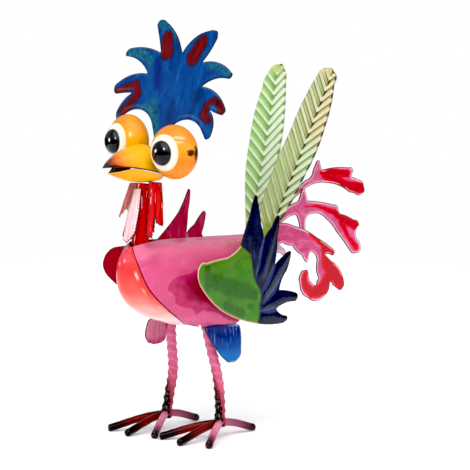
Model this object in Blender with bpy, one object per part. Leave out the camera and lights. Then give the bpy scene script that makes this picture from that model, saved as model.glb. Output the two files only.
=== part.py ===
"""Rooster garden ornament, cut and dished from painted steel sheet and welded on rod legs.

The rooster faces -Y, its left side is +X and +Z is up. Lengths are in millimetres and are
turned into metres when a mesh is made.
"""
import math

import bmesh
import bpy
from mathutils import Matrix, Vector, geometry

# Driving sizes, in millimetres and degrees.
MM = 0.001
SHEET = 1.2
GAP = 0.3

# Point of the design plan, midway between the ankles, that the origin is moved to.
PLAN_ORIGIN = (5.68, 79.67)

LEG_DIAMETER = 10.0
TOE_DIAMETER = 7.4
TOE_REACH = 60.0
TOE_TIP = 1.8
HIND_TOE_REACH = 48.0
HIND_TOE_ANGLE = 178.0
LEFT_TOE_ANGLES = (-35.0, 1.0, 32.0)
RIGHT_TOE_ANGLES = (-28.0, 4.0, 33.0)
# How far the left inner toe ends short of the middle, which sets the ankles apart.
INNER_TOE_SHORT = 2.186
ANKLE = (TOE_REACH * math.sin(math.radians(-LEFT_TOE_ANGLES[0])) + INNER_TOE_SHORT, 1.0, 14.0)
LEG_END = 10.0
# Leg line above the ankle, up to where it is welded under the ridge.
LEG_LINE = [
    (ANKLE[0] - 2.6, 3.6, 35.0), (ANKLE[0] - 6.8, 4.5, 60.0), (25.0, -3.3, 100.0), (14.6, -19.0, 188.4),
]

HEAD_YAW = -5.0
HEAD_ROLL = 6.5
EYE_RADIUS = 25.9
# Room between the two eye balls, for the beak's root and the crest's stem.
EYE_ROOM = 15.8
EYE_SPACING = 2.0 * EYE_RADIUS + EYE_ROOM
EYE_DEPTH = 17.3
EYE_OPENING = 13.0
EYE_TURN = {"left": 6.0, "right": -8.0}
WHITE_RADIUS = 17.4
PUPIL_RADIUS = 11.7
PUPIL_HEIGHT = 4.6

CREST_LEAN = 17.0
CREST_SETBACK = 5.0
BREAST_BULGE = 12.5
FEATHER_ROOT = (0.0, 99.0, 185.0)
FEATHER_LEAN = 21.0
FEATHER_FOLD = 0.16
NECK_FOOT = (0.0, -73.0, 184.0)
NECK_LEAN = 9.0
NECK_HEIGHT = 66.4
NECK_RADIUS = {"foot": 7.0, "top": 9.2}
# From the top of the neck back to the head's centre, and up to the lowest point of the eyes.
HEAD_SETBACK = 6.4
HEAD_LIFT = 9.4
HEAD_CENTRE = (
    0.0,
    NECK_FOOT[1] + NECK_HEIGHT * math.sin(math.radians(NECK_LEAN)) + HEAD_SETBACK,
    NECK_FOOT[2] + NECK_HEIGHT * math.cos(math.radians(NECK_LEAN)) + HEAD_LIFT + EYE_RADIUS,
)
WING_OFFSET = 51.4
WING_TOE_IN = 8.5
WING_DISH = 4.0
THIGH_OFFSET = 42.1
THIGH_TOE_OUT = 14.4
THIGH_DISH = 3.0
THIGH_TOP = 111.5
THIGH_DROP = {"left": 37.0, "right": 27.5}
CURL_PITCH = SHEET + GAP
CURL_FAN = 0.02
CURL_ROOT = 97.0


# Outlines.
def arc_path(points, turn=38.0):
    """Closed outline from corners (x, y, bulge); bulge is the arc's rise to the next corner."""
    path = []
    for (x0, y0, bulge), (x1, y1, _) in zip(points, points[1:] + points[:1]):
        path.append((x0, y0))
        chord = math.hypot(x1 - x0, y1 - y0)
        if not bulge or chord < 1e-6:
            continue
        half = 2.0 * math.atan(2.0 * bulge / chord)
        radius = chord / (2.0 * math.sin(half))
        steps = max(2, round(2.0 * abs(half) / math.radians(turn)))
        along = ((x1 - x0) / chord, (y1 - y0) / chord)
        for k in range(1, steps):
            angle = half * (2.0 * k / steps - 1.0)
            run = chord / 2.0 + radius * math.sin(angle)
            rise = radius * (math.cos(angle) - math.cos(half))
            path.append((x0 + along[0] * run + along[1] * rise,
                         y0 + along[1] * run - along[0] * rise))
    return path


def divided(path, longest):
    """The same closed outline with its long straight stretches divided."""
    out = []
    for (x0, y0), (x1, y1) in zip(path, path[1:] + path[:1]):
        steps = max(1, math.ceil(math.hypot(x1 - x0, y1 - y0) / longest))
        out += [(x0 + (x1 - x0) * k / steps, y0 + (y1 - y0) * k / steps) for k in range(steps)]
    return out


def spline(points, t):
    """Point at t in 0..1 on a smooth curve through the listed points."""
    spans = len(points) - 1
    i = min(int(t * spans), spans - 1)
    f = t * spans - i
    p1, p2 = Vector(points[i]), Vector(points[i + 1])
    p0 = Vector(points[i - 1]) if i else 2 * p1 - p2
    p3 = Vector(points[i + 2]) if i + 2 <= spans else 2 * p2 - p1
    return 0.5 * (2 * p1 + (p2 - p0) * f + (2 * p0 - 5 * p1 + 4 * p2 - p3) * f * f
                  + (3 * p1 - p0 - 3 * p2 + p3) * f ** 3)


# Objects.
def material(name, colour, roughness=0.3):
    found = bpy.data.materials.get(name)
    if found:
        return found
    made = bpy.data.materials.new(name)
    made.use_nodes = True
    shader = made.node_tree.nodes["Principled BSDF"]
    shader.inputs["Base Color"].default_value = (*colour, 1.0)
    shader.inputs["Roughness"].default_value = roughness
    shader.inputs["Metallic"].default_value = 0.0
    made.diffuse_color = (*colour, 1.0)
    return made


PAINT = {
    "crest_blue": (0.01, 0.10, 0.38),
    "eye_orange": (0.92, 0.32, 0.03),
    "eye_white": (0.90, 0.88, 0.80),
    "pupil_black": (0.01, 0.01, 0.015),
    "beak_yellow": (0.95, 0.42, 0.01),
    "neck_red": (0.62, 0.01, 0.01),
    "hackle_coral": (0.86, 0.16, 0.14),
    "hackle_blush": (0.88, 0.52, 0.52),
    "breast_coral": (0.90, 0.20, 0.16),
    "body_pink": (0.66, 0.12, 0.24),
    "wing_green": (0.06, 0.22, 0.02),
    "thigh_blue": (0.01, 0.10, 0.42),
    "thigh_pink": (0.66, 0.14, 0.25),
    "leg_pink": (0.78, 0.20, 0.32),
    "toe_oxblood": (0.20, 0.01, 0.01),
    "feather_green": (0.42, 0.62, 0.24),
    "curl_pink": (0.78, 0.09, 0.20),
}


def solid(name, verts, faces, paint, frame, parent):
    """A closed mesh object from millimetre points, with its faces turned outward."""
    mesh = bpy.data.meshes.new(name)
    mesh.from_pydata([Vector(v) * MM for v in verts], [], faces)
    work = bmesh.new()
    work.from_mesh(mesh)
    bmesh.ops.remove_doubles(work, verts=work.verts, dist=1e-7)
    bmesh.ops.dissolve_degenerate(work, edges=work.edges, dist=1e-7)
    bmesh.ops.recalc_face_normals(work, faces=work.faces)
    work.to_mesh(mesh)
    work.free()
    mesh.shade_smooth()
    mesh.set_sharp_from_angle(angle=math.radians(40.0))
    mesh.materials.append(material(paint, PAINT[paint]))
    made = bpy.data.objects.new(name, mesh)
    bpy.context.collection.objects.link(made)
    made.parent = parent
    move, turn, _ = frame.decompose()
    made.location = move * MM
    made.rotation_euler = turn.to_euler()
    return made


def skin(front, back):
    """Vertices and faces between two equal grids of points, closed along their edges."""
    rows, cols = len(front), len(front[0])
    size = rows * cols
    verts = [p for grid in (front, back) for row in grid for p in row]

    def at(r, c, side):
        return side * size + r * cols + c

    faces = []
    for r in range(rows - 1):
        for c in range(cols - 1):
            quad = [at(r, c, 0), at(r, c + 1, 0), at(r + 1, c + 1, 0), at(r + 1, c, 0)]
            faces.append(quad)
            faces.append([q + size for q in reversed(quad)])
    for r in (0, rows - 1):
        for c in range(cols - 1):
            faces.append([at(r, c, 0), at(r, c, 1), at(r, c + 1, 1), at(r, c + 1, 0)])
    for c in (0, cols - 1):
        for r in range(rows - 1):
            faces.append([at(r, c, 0), at(r + 1, c, 0), at(r + 1, c, 1), at(r, c, 1)])
    return verts, faces


def thicken(grid, wall=SHEET):
    """Front and back grids half a wall either side of a grid of points."""
    rows, cols = len(grid), len(grid[0])
    front, back = [], []
    for r in range(rows):
        front.append([])
        back.append([])
        for c in range(cols):
            du = Vector(grid[min(r + 1, rows - 1)][c]) - Vector(grid[max(r - 1, 0)][c])
            dv = Vector(grid[r][min(c + 1, cols - 1)]) - Vector(grid[r][max(c - 1, 0)])
            normal = du.cross(dv).normalized()
            front[r].append(Vector(grid[r][c]) + normal * wall / 2.0)
            back[r].append(Vector(grid[r][c]) - normal * wall / 2.0)
    return front, back


def inside(point, rim):
    x, y = point
    hit = False
    for (x0, y0), (x1, y1) in zip(rim, rim[1:] + rim[:1]):
        if (y0 > y) != (y1 > y) and x < x0 + (y - y0) * (x1 - x0) / (y1 - y0):
            hit = not hit
    return hit


def clear_of(point, rim, distance):
    here = Vector(point)
    for a, b in zip(rim, rim[1:] + rim[:1]):
        near, share = geometry.intersect_point_line(here, Vector(a), Vector(b))
        if share < 0.0:
            near = Vector((*a, 0.0))
        elif share > 1.0:
            near = Vector((*b, 0.0))
        if (Vector((*point, 0.0)) - Vector((near[0], near[1], 0.0))).length < distance:
            return False
    return True


def cut_sheet(rim, place, spacing=None, creases=(), wall=SHEET):
    """Vertices and faces of a sheet cut to an outline and bent by place(u, v)."""
    flat = list(rim)
    edges = [(i, (i + 1) % len(rim)) for i in range(len(rim))]
    for crease in creases:
        first = len(flat)
        flat += crease
        edges += [(i, i + 1) for i in range(first, len(flat) - 1)]
    if spacing:
        low_u, low_v = (min(p[i] for p in rim) for i in (0, 1))
        high_u, high_v = (max(p[i] for p in rim) for i in (0, 1))
        row, v = 0, low_v + spacing / 2.0
        while v < high_v:
            u = low_u + spacing * (0.5 if row % 2 else 0.25)
            while u < high_u:
                if inside((u, v), rim) and clear_of((u, v), rim, spacing * 0.45):
                    flat.append((u, v))
                u += spacing
            row += 1
            v += spacing * 0.87
    flat = [Vector(p) for p in flat]
    points, _, tris, *_ = geometry.delaunay_2d_cdt(flat, edges, [], 1, 1e-4)
    step = 0.05
    upper, lower = [], []
    for u, v in points:
        here = Vector(place(u, v))
        du = Vector(place(u + step, v)) - Vector(place(u - step, v))
        dv = Vector(place(u, v + step)) - Vector(place(u, v - step))
        normal = du.cross(dv).normalized()
        upper.append(here + normal * wall / 2.0)
        lower.append(here - normal * wall / 2.0)
    count = len(points)
    directed = {(t[i], t[(i + 1) % 3]) for t in tris for i in range(3)}
    faces = [list(t) for t in tris] + [[i + count for i in reversed(t)] for t in tris]
    faces += [[b, a, a + count, b + count] for a, b in directed if (b, a) not in directed]
    return upper + lower, faces


def spin(profile, sides):
    """Solid of revolution about Y from (radius, along) points that start and end on the axis."""
    rings = [[(r * math.cos(a), -s, r * math.sin(a)) for a in
              (2.0 * math.pi * k / sides for k in range(sides))] for r, s in profile[1:-1]]
    verts = [p for ring in rings for p in ring]
    faces = []
    for i in range(len(rings) - 1):
        for k in range(sides):
            n = (k + 1) % sides
            faces.append([i * sides + k, i * sides + n, (i + 1) * sides + n, (i + 1) * sides + k])
    for (_, s), ring in ((profile[0], 0), (profile[-1], len(rings) - 1)):
        verts.append((0.0, -s, 0.0))
        for k in range(sides):
            faces.append([len(verts) - 1, ring * sides + k, ring * sides + (k + 1) % sides])
    return verts, faces


def rod(stations, sides):
    """Round bar through (centre, radius) stations, with flat ends."""
    centres = [Vector(c) for c, _ in stations]
    side = (centres[1] - centres[0]).orthogonal().normalized()
    verts, faces = [], []
    for i, (_, radius) in enumerate(stations):
        ahead = centres[min(i + 1, len(centres) - 1)] - centres[max(i - 1, 0)]
        ahead.normalize()
        side = (side - ahead * side.dot(ahead)).normalized()
        across = ahead.cross(side)
        for k in range(sides):
            angle = 2.0 * math.pi * (k + 0.5) / sides
            verts.append(centres[i] + (side * math.cos(angle) + across * math.sin(angle)) * radius)
    for i in range(len(stations) - 1):
        for k in range(sides):
            n = (k + 1) % sides
            faces.append([i * sides + k, i * sides + n, (i + 1) * sides + n, (i + 1) * sides + k])
    faces.append(list(reversed(range(sides))))
    faces.append(list(range((len(stations) - 1) * sides, len(stations) * sides)))
    return verts, faces


def trim(piece, cutters):
    for cutter in cutters:
        cut = piece.modifiers.new("trim_" + cutter.name, "BOOLEAN")
        cut.operation = "DIFFERENCE"
        cut.solver = "EXACT"
        cut.object = cutter


def frame_at(place, turns=()):
    """Placement in millimetres, turned in order by (axis, degrees)."""
    made = Matrix.Translation(Vector(place))
    for axis, degrees in turns:
        made = made @ Matrix.Rotation(math.radians(degrees), 4, axis)
    return made


# Body.
# Section lines of the left half of the body, each from the ridge down to the seam or rim.
RIDGE_X = (SHEET + GAP) / 2.0
BODY_LINES = [
    [(1.5, -84, 191), (12.5, -88, 176), (20.5, -80, 151), (23.5, -59, 131), (21, -42, 120.5),
     (14.5, -26, 112.5)],
    [(8.8, -76, 194), (23, -70, 185), (32, -61, 165), (35, -47, 142), (33.5, -32, 124),
     (26, -18, 111.5)],
    [(7.6, -62, 195), (25, -54, 189), (38.5, -42, 166), (42, -30, 142), (41, -18, 123), (37, -9, 109)],
    [(RIDGE_X, -32, 194.2), (26, -26, 188.5), (41, -15, 168), (45, -4, 143), (44.5, 3, 124),
     (43, 9, 107.5)],
    [(RIDGE_X, 18, 192.4), (25, 20, 187), (40, 24, 167), (45, 27, 145), (44.5, 25, 129),
     (43.5, 20.5, 113)],
    [(RIDGE_X, 58, 190.8), (18, 58, 185), (30, 58, 166), (35, 56, 147), (34.5, 54, 132), (30, 51, 117)],
    [(RIDGE_X, 86, 190), (7, 84, 184), (12, 81, 166), (14, 78, 147), (14, 74, 131), (11, 69, 113)],
    [(RIDGE_X, 99.4, 189.6), (RIDGE_X, 95, 174), (RIDGE_X, 91, 158), (RIDGE_X, 86, 142),
     (RIDGE_X, 80, 126), (RIDGE_X, 74, 110)],
]
BREAST_TAIL = [(14.5, -26, 112.5), (11, -14, 110), (6.5, -2, 107.4), (2.2, 9, 105)]
# Share of the bulge along the seam, from the throat to the end of the tail.
BREAST_SWELL = [0.05, 0.85, 1.0, 0.62, 0.26, 0.08, 0.03]


def body_point(s, t):
    return spline([spline(line, t) for line in BODY_LINES], s)


def body_shell(side, sign, root):
    grid = []
    for i in range(15):
        grid.append([])
        for j in range(11):
            x, y, z = body_point(i / 14.0, j / 10.0)
            grid[-1].append((sign * x, y, z))
    verts, faces = skin(*thicken(grid))
    return solid("body_shell_" + side, verts, faces, "body_pink", Matrix(), root)


def breast_panel(root):
    seam = [spline(BODY_LINES[0], j / 8.0) for j in range(9)]
    seam += [spline(BREAST_TAIL, j / 3.0) for j in range(1, 4)]
    grid = []
    for j, edge in enumerate(seam):
        before, after = seam[max(j - 1, 0)], seam[min(j + 1, len(seam) - 1)]
        ahead = (after - before)
        outward = Vector((0.0, ahead.z, -ahead.y)).normalized()
        width = max(edge.x - GAP - SHEET, 0.9)
        bulge = BREAST_BULGE * spline([(b, 0.0) for b in BREAST_SWELL], j / (len(seam) - 1.0)).x
        row = []
        for k in range(9):
            across = k / 4.0 - 1.0
            middle = Vector((width * across, edge.y, edge.z))
            row.append(middle + outward * bulge * (1.0 - across ** 2))
        grid.append(row)
    verts, faces = skin(*thicken(grid))
    return solid("breast_panel", verts, faces, "breast_coral", Matrix(), root)


# Wings and thighs.
# Wing outlines: along the wing from its middle, height, and the arc's rise. The lower edge is
# the same on both sides, and the two upper feathers were cut by hand and differ.
WING_LOWER = [
    (-60, 165, 1), (-53, 153.5, 2), (-13, 126, 2), (50, 107, 1), (90, 102.8, 0.6), (99, 104.5, 2.4),
    (98, 110, -1.5), (81, 118.5, -2), (114, 122.5, 0.5), (118.5, 125.5, 1.6), (115.5, 131.5, 0.8),
    (86.5, 137, -2), (99.5, 155, 0.6), (107, 171.5, 1.4), (103.5, 174.6, 0.6), (93.5, 170.5, 0.6),
]
WING_UPPER = {
    "left": [
        (78.5, 162.5, 1.5), (83, 190, 0.8), (87, 208.5, 1.9), (82.6, 211.5, 0.6), (74, 201, 0.8),
        (59.8, 190, 0.5), (54, 207.6, 1), (48, 231, 2.3), (43.3, 233.5, 0.5), (34, 213, 0.6),
        (19.4, 187.5, -1.6), (-6, 178, 0.4), (-44, 176.4, 6)],
    "right": [
        (74, 158, 1.5), (60, 190, 0.8), (65.6, 209.5, 1.6), (61.6, 212.6, 0.6), (50.5, 200, 0.8),
        (40, 191.5, 0.3), (42.4, 214, 0.6), (45.4, 233, 1.6), (42.2, 235.8, -0.6), (30, 213.5, -0.8),
        (2, 187, -0.8), (-18, 183.6, 0.4), (-42, 183.6, 6)],
}
# Thigh outlines: along the thigh, share of its drop below the body rim, and the arc's rise.
THIGH = {
    "left": [
        (-19, 0.06, 0.8), (-6, 0.64, 0.8), (3.5, 0.93, 1.4), (11, 1, 1.2), (18.4, 0.95, 2.2),
        (23.4, 0.66, 1), (22.6, 0.03, 0.5), (4, 0, 0.6), (-14, 0, 1)],
    "right": [
        (-19.5, 0.08, 0.6), (-24, 0.45, 1.4), (-20.5, 0.74, 1.6), (-10, 0.92, 1), (0, 0.985, 0.8),
        (11, 0.97, 1.8), (18.6, 0.76, 1.2), (19.8, 0.03, 0.4), (2, 0, 0.6), (-15, 0, 1)],
}


def wing(side, sign, root):
    toe = math.radians(WING_TOE_IN)

    def place(u, v):
        lift = WING_DISH * (((u - 30.0) / 90.0) ** 2 - 0.25)
        x = WING_OFFSET - u * math.sin(toe) + lift
        return sign * x, u * math.cos(toe), v

    rim = arc_path(WING_LOWER + WING_UPPER[side], 42.0)
    verts, faces = cut_sheet(rim, place, 24.0)
    return solid("wing_" + side, verts, faces, "wing_green", Matrix(), root)


def thigh(side, sign, root):
    drop = THIGH_DROP[side]
    toe = math.radians(THIGH_TOE_OUT)

    def place(u, v):
        round_off = math.sqrt(max(0.0, 1.0 - (u / 30.0) ** 2))
        dish = THIGH_DISH * round_off * math.sqrt(max(0.0, (THIGH_TOP - v) / drop))
        x = THIGH_OFFSET + u * math.sin(toe) + dish
        return sign * x, -4.5 + u * math.cos(toe), v

    rim = [(u, THIGH_TOP - share * drop) for u, share in arc_path_scaled(THIGH[side], drop)]
    verts, faces = cut_sheet(rim, place, 9.0)
    paint = "thigh_blue" if side == "left" else "thigh_pink"
    return solid("thigh_" + side, verts, faces, paint, Matrix(), root)


def arc_path_scaled(points, drop):
    """Outline whose second coordinate is a share of a drop, with arcs of true roundness."""
    path = arc_path([(u, -share * drop, bulge) for u, share, bulge in points], 40.0)
    return [(u, -v / drop) for u, v in path]


# Legs and feet.
def leg_rod(sign, radius, run_on=0.0):
    """The bowed leg; run_on lengthens it straight down past its lower end."""
    line = [(ANKLE[0], ANKLE[1], LEG_END)] + LEG_LINE
    centres = [spline(line, k / 8.0) for k in range(9)]
    if run_on:
        centres.insert(0, centres[0] - Vector((0.0, 0.0, run_on)))
    return rod([((sign * c.x, c.y, c.z), radius) for c in centres], 14)


def toe_rod(sign, angle, reach, spare=0.0):
    """Rod that arches from the ankle to the ground; angle 0 points to the front."""
    radius = TOE_DIAMETER / 2.0
    turn = math.radians(angle)
    heading = Vector((math.sin(turn), -math.cos(turn), 0.0))
    centre = Vector((sign * ANKLE[0], ANKLE[1], 0.0))
    start = LEG_DIAMETER / 4.0
    stations = []
    for k in range(6):
        t = k / 5.0
        height = radius + (ANKLE[2] - radius) * math.cos(t * math.pi / 2.0) ** 1.2
        run = start + (reach - start - TOE_TIP) * t
        stations.append((centre + heading * run + Vector((0.0, 0.0, height)), radius + spare))
    tip = stations[-1][0] + heading * TOE_TIP
    stations.append((tip, radius * 0.7 + spare))
    return rod(stations, 10)


def cutter_of(name, mesh, parent, frame):
    """A clearance shape that is only used to trim other pieces."""
    cutter = solid(name, *mesh, "toe_oxblood", frame, parent)
    cutter.hide_render = True
    cutter.display_type = "WIRE"
    return cutter


def foot(side, sign, angles, root):
    """A leg, three front toes and a hind toe; each rod is coped to the one it meets."""
    solid("leg_" + side, *leg_rod(sign, LEG_DIAMETER / 2.0), "leg_pink", Matrix(), root)
    round_leg = leg_rod(sign, LEG_DIAMETER / 2.0 + GAP, LEG_END)
    beside_leg = cutter_of("clearance_leg_" + side, round_leg, root, Matrix())
    round_toe = toe_rod(sign, angles[1], TOE_REACH, GAP)
    beside_toe = cutter_of("clearance_toe_" + side, round_toe, root, Matrix())
    names = ("inner", "middle", "outer") if sign > 0 else ("outer", "middle", "inner")
    toes = [(label, angle, TOE_REACH) for label, angle in zip(names, angles)]
    toes.append(("hind", sign * HIND_TOE_ANGLE, HIND_TOE_REACH))
    for label, angle, reach in toes:
        name = "toe_" + side + "_" + label
        piece = solid(name, *toe_rod(sign, angle, reach), "toe_oxblood", Matrix(), root)
        trim(piece, [beside_leg] if label in ("middle", "hind") else [beside_leg, beside_toe])


# Head.
def spheroid(radius, depth, start, stop, steps):
    """Meridian points (radius, along the eye axis), from one polar angle to another."""
    angles = [start + (stop - start) * k / steps for k in range(steps + 1)]
    return [(radius * math.sin(a), depth * math.cos(a)) for a in angles]


def eye(side, sign, head):
    frame = frame_at((sign * EYE_SPACING / 2.0, 0, 0), [("Z", EYE_TURN[side])])
    outer_cut = math.asin(EYE_OPENING / EYE_RADIUS)
    inner_cut = math.asin(EYE_OPENING / (EYE_RADIUS - SHEET))
    shell = spheroid(EYE_RADIUS, EYE_DEPTH, math.pi, outer_cut, 8)
    lining = spheroid(EYE_RADIUS - SHEET, EYE_DEPTH - SHEET, inner_cut, math.pi, 8)
    shell[0] = (0.0, -EYE_DEPTH)
    lining[-1] = (0.0, -EYE_DEPTH + SHEET)
    solid("eye_bowl_" + side, *spin(shell + lining, 20), "eye_orange", frame, head)

    seat = (EYE_RADIUS + GAP, EYE_DEPTH + GAP)
    face = (seat[0] + SHEET, seat[1] + SHEET)
    under = spheroid(*seat, 0.0, math.asin(WHITE_RADIUS / seat[0]), 3)
    over = spheroid(*face, math.asin(WHITE_RADIUS / face[0]), 0.0, 3)
    over[-1] = (0.0, face[1])
    solid("eye_white_" + side, *spin(under + over, 20), "eye_white", frame, head)

    rest = (face[0] + GAP, face[1] + GAP)
    foot = spheroid(*rest, 0.0, math.asin(PUPIL_RADIUS / rest[0]), 3)
    edge = foot[-1][1]
    crown = rest[1] + PUPIL_HEIGHT
    dome = [(PUPIL_RADIUS * math.cos(a), edge + (crown - edge) * math.sin(a))
            for a in (math.radians(d) for d in (8, 30, 55, 90))]
    dome[-1] = (0.0, crown)
    solid("pupil_" + side, *spin(foot + dome, 18), "pupil_black", frame, head)


def eye_cutter(side, sign, head):
    """Clearance shape round one eye, for the pieces that are trimmed to it."""
    profile = spheroid(EYE_RADIUS + GAP, EYE_DEPTH + SHEET + GAP * 5.0, math.pi, 0.0, 12)
    profile[0] = (0.0, profile[0][1])
    profile[-1] = (0.0, profile[-1][1])
    frame = frame_at((sign * EYE_SPACING / 2.0, 0, 0), [("Z", EYE_TURN[side])])
    return cutter_of("clearance_" + side, spin(profile, 20), head, frame)


# Beak stations: distance behind the eye line, half width, and the edge's and the crown's height
# above the lowest point of the eyes.
UPPER_BEAK = [(-58.5, 0, 7.5, 7.9), (-52, 5.2, 8.5, 13.5), (-43, 10.6, 9.1, 18.9),
              (-31.5, 16, 8.7, 24.1), (-20, 21.5, 7.1, 27.1), (-8, 25.6, 4.3, 28.7)]
LOWER_BEAK = [(-51.5, 0, 2.3, 1.9), (-43, 6.4, 4.5, -1.3), (-31.5, 14.6, 8.2, -5.2),
              (-20, 20.2, 6.5, -7.3), (-11, 23.6, 4.5, -7.5), (-3.5, 26, 3.1, -6.5)]


def beak_rows(stations, wall, tip_shift):
    """Half-round sections along a beak, drawn in by a wall and started behind the tip."""
    rows = []
    count = 2 * (len(stations) - 1)
    crown_sign = 1.0 if stations[-1][3] > stations[-1][2] else -1.0
    for i in range(count + 1):
        y, half, edge, crown = spline(stations, i / count)
        if i == 0:
            y, half = stations[0][0] + tip_shift, 0.0
            crown = edge
        else:
            y = y + tip_shift * (1.0 - i / count) ** 2
            half = max(half - wall, 0.05)
            crown = edge + crown_sign * max(abs(crown - edge) - wall, 0.05)
        row = []
        for k in range(11):
            a = math.pi * k / 10.0
            height = edge + (crown - edge) * math.sin(a)
            row.append((-half * math.cos(a), y, height - EYE_RADIUS))
        rows.append(row)
    return rows


def beak(head, cutters):
    for name, stations in (("upper_beak", UPPER_BEAK), ("lower_beak", LOWER_BEAK)):
        outside = beak_rows(stations, 0.0, 0.0)
        lining = beak_rows(stations, SHEET, 5.0)
        piece = solid(name, *skin(outside, lining), "beak_yellow", Matrix(), head)
        trim(piece, cutters)


# Crest outline from its stem up the right side and down the left: across, up along the plate,
# and the arc's rise. Its eight locks were cut by hand.
CREST = [
    (0, -17, 0), (13, -17, 0), (12, -5, 0), (2.6, -3, 0), (2.6, 5, 0), (12.9, 19.8, -11),
    (58.6, 21.6, -0.4), (62.8, 17.8, 0.8), (67.4, 18, 1), (70, 23.4, 4.4), (57.6, 45.4, 0.6),
    (74, 42.6, 1), (78.6, 44.6, 1.2), (78.4, 49.6, 5.2), (38.6, 65.2, -3.6), (70.6, 77, 1),
    (74.4, 80.6, 1), (72.6, 83.6, 5), (29.4, 87.6, 1.2), (39.6, 110.2, 0.8), (39.4, 116.6, 1.4),
    (34.8, 119.8, 0.8), (27.4, 118.9, 5.2), (-1.1, 92.6, 4), (-36, 120.4, 0.8), (-42.4, 121.6, 1),
    (-46.8, 118.4, 1), (-46.2, 113.6, -0.4), (-30.4, 89.4, 3), (-75, 88.6, 0.8), (-79.8, 84, 1),
    (-78.4, 79.6, -4.4), (-40.4, 67, 4.2), (-79.4, 52, 1.2), (-81.6, 46, 1), (-77.6, 41, -0.4),
    (-54.4, 45.6, 2.2), (-68, 26, 1), (-66.6, 18.6, 1), (-62.6, 17, 0.6), (-58.6, 20.6, -11),
    (-12.9, 19.8, 0), (-2.6, 5, 0), (-2.6, -3, 0), (-12, -5, 0), (-13, -17, 0),
]


def crest(head, cutters):
    frame = frame_at((0, CREST_SETBACK, 0), [("X", -CREST_LEAN)])

    def place(u, v):
        return u, 0.0, v

    verts, faces = cut_sheet(arc_path(CREST, 40.0), place)
    piece = solid("crest", verts, faces, "crest_blue", frame, head)
    trim(piece, cutters)
    return piece


# Neck and hackles.
# Hackle strips: paint, radius at the top and at the lower tips, and outline (degrees, share of
# the neck's height).
HACKLES = {
    "hackle_left": ("neck_red", 14.0, 22.0, [
        (52, 1.03), (55, 0.6), (57, 0.25), (73, 0.22), (78, 0.5), (83, 0.52), (88, 0.44),
        (116, 0.42), (124, 0.5), (138, 0.72), (148, 1.04)]),
    "hackle_right": ("hackle_coral", 15.0, 22.5, [
        (-112, 1.01), (-108, 0.767), (-98, 0.506), (-86, 0.613), (-70, 0.583), (-54, 0.475),
        (-44, 0.644), (-32, 0.767), (-28, 0.98)]),
    "hackle_front": ("hackle_blush", 10.7, 17.5, [
        (-84, 0.92), (-82, 0.46), (-66, 0.23), (-50, 0.215), (-38, 0.36), (-24, 0.16), (-4, 0.12),
        (12, 0.18), (24, 0.3), (27, 0.6), (22, 0.92)]),
    "hackle_back": ("neck_red", 10.6, 17.0, [
        (166, 0.982), (172, 0.521), (182, 0.307), (194, 0.521), (208, 0.368), (218, 0.613), (224, 0.982)]),
}


def neck(root):
    frame = frame_at(NECK_FOOT, [("X", -NECK_LEAN)])
    grid = []
    for i in range(6):
        h = -8.0 + (NECK_HEIGHT + 8.0) * i / 5.0
        radius = NECK_RADIUS["foot"] + (NECK_RADIUS["top"] - NECK_RADIUS["foot"]) * i / 5.0
        row = []
        for k in range(15):
            a = math.radians(-158.0 + 316.0 * k / 14.0)
            row.append((radius * math.sin(a), -radius * math.cos(a), h))
        grid.append(row)
    verts, faces = skin(*thicken(grid))
    return solid("neck", verts, faces, "neck_red", frame, root)


def hackle(name, root):
    frame = frame_at(NECK_FOOT, [("X", -NECK_LEAN)])
    paint, top, low, shape = HACKLES[name]
    shape = [(d, h * NECK_HEIGHT) for d, h in shape]
    high = max(h for _, h in shape)
    base = min(h for _, h in shape)
    scale = math.radians(1.0) * (top + low) / 2.0

    def place(u, v):
        a = math.radians(u / scale)
        r = low + (top - low) * (v - base) / (high - base)
        return r * math.sin(a), -r * math.cos(a), v

    rim = divided([(d * scale, h) for d, h in shape], 6.0)
    verts, faces = cut_sheet(rim, place, 6.0)
    return solid(name, verts, faces, paint, frame, root)


# Tail.
# Feather outline from the root up: across, and up along the blade; midrib across at both ends.
FEATHERS = {
    "left": [
        (3.6, -16, 0), (12, -16, 0), (17.5, 12, 0), (27, 24.5, 1), (43, 69, 2.5), (53.6, 120, 2),
        (50.5, 166, 3.5), (45, 179.5, 2.2), (36, 183, 2.4), (27, 176, 1.8), (11, 121, -0.5),
        (2, 86, -0.8), (-4.5, 40, 0), (-3.5, 23, 0), (3.6, 12, 0)],
    "right": [
        (3.6, -16, 0), (12, -16, 0), (20, 5, 0), (33.6, 47.5, 1.5), (44, 101, 2.2), (45.6, 161, 1.6),
        (42.4, 180, 2.4), (33, 187.4, 2.4), (23.6, 183, 1.8), (15.6, 168, 1), (2, 116, 1.2),
        (-0.5, 68, 0), (1.5, 25, 0), (3.6, 12, 0)],
}
# The midrib of each blade, at its foot and at its top.
MIDRIB = {"left": ((12.5, 0.0), (43.5, 182.0)), "right": ((13.0, 0.0), (33.0, 186.0))}


def feather(side, sign, root):
    forward = 0.0 if side == "left" else SHEET + GAP + 0.9
    frame = frame_at(FEATHER_ROOT, [("X", -FEATHER_LEAN)])
    (u0, v0), (u1, v1) = MIDRIB[side]

    def place(u, v):
        midrib = u0 + (u1 - u0) * (v - v0) / (v1 - v0)
        return sign * u, forward + FEATHER_FOLD * abs(u - midrib) * -1.0, v

    midrib = [(u0 + (u1 - u0) * k / 9.0, v0 + (v1 - v0) * k / 9.0) for k in range(1, 9)]
    verts, faces = cut_sheet(arc_path(FEATHERS[side], 24.0), place, 17.0, [midrib])
    return solid("tail_feather_" + side, verts, faces, "feather_green", frame, root)


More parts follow.
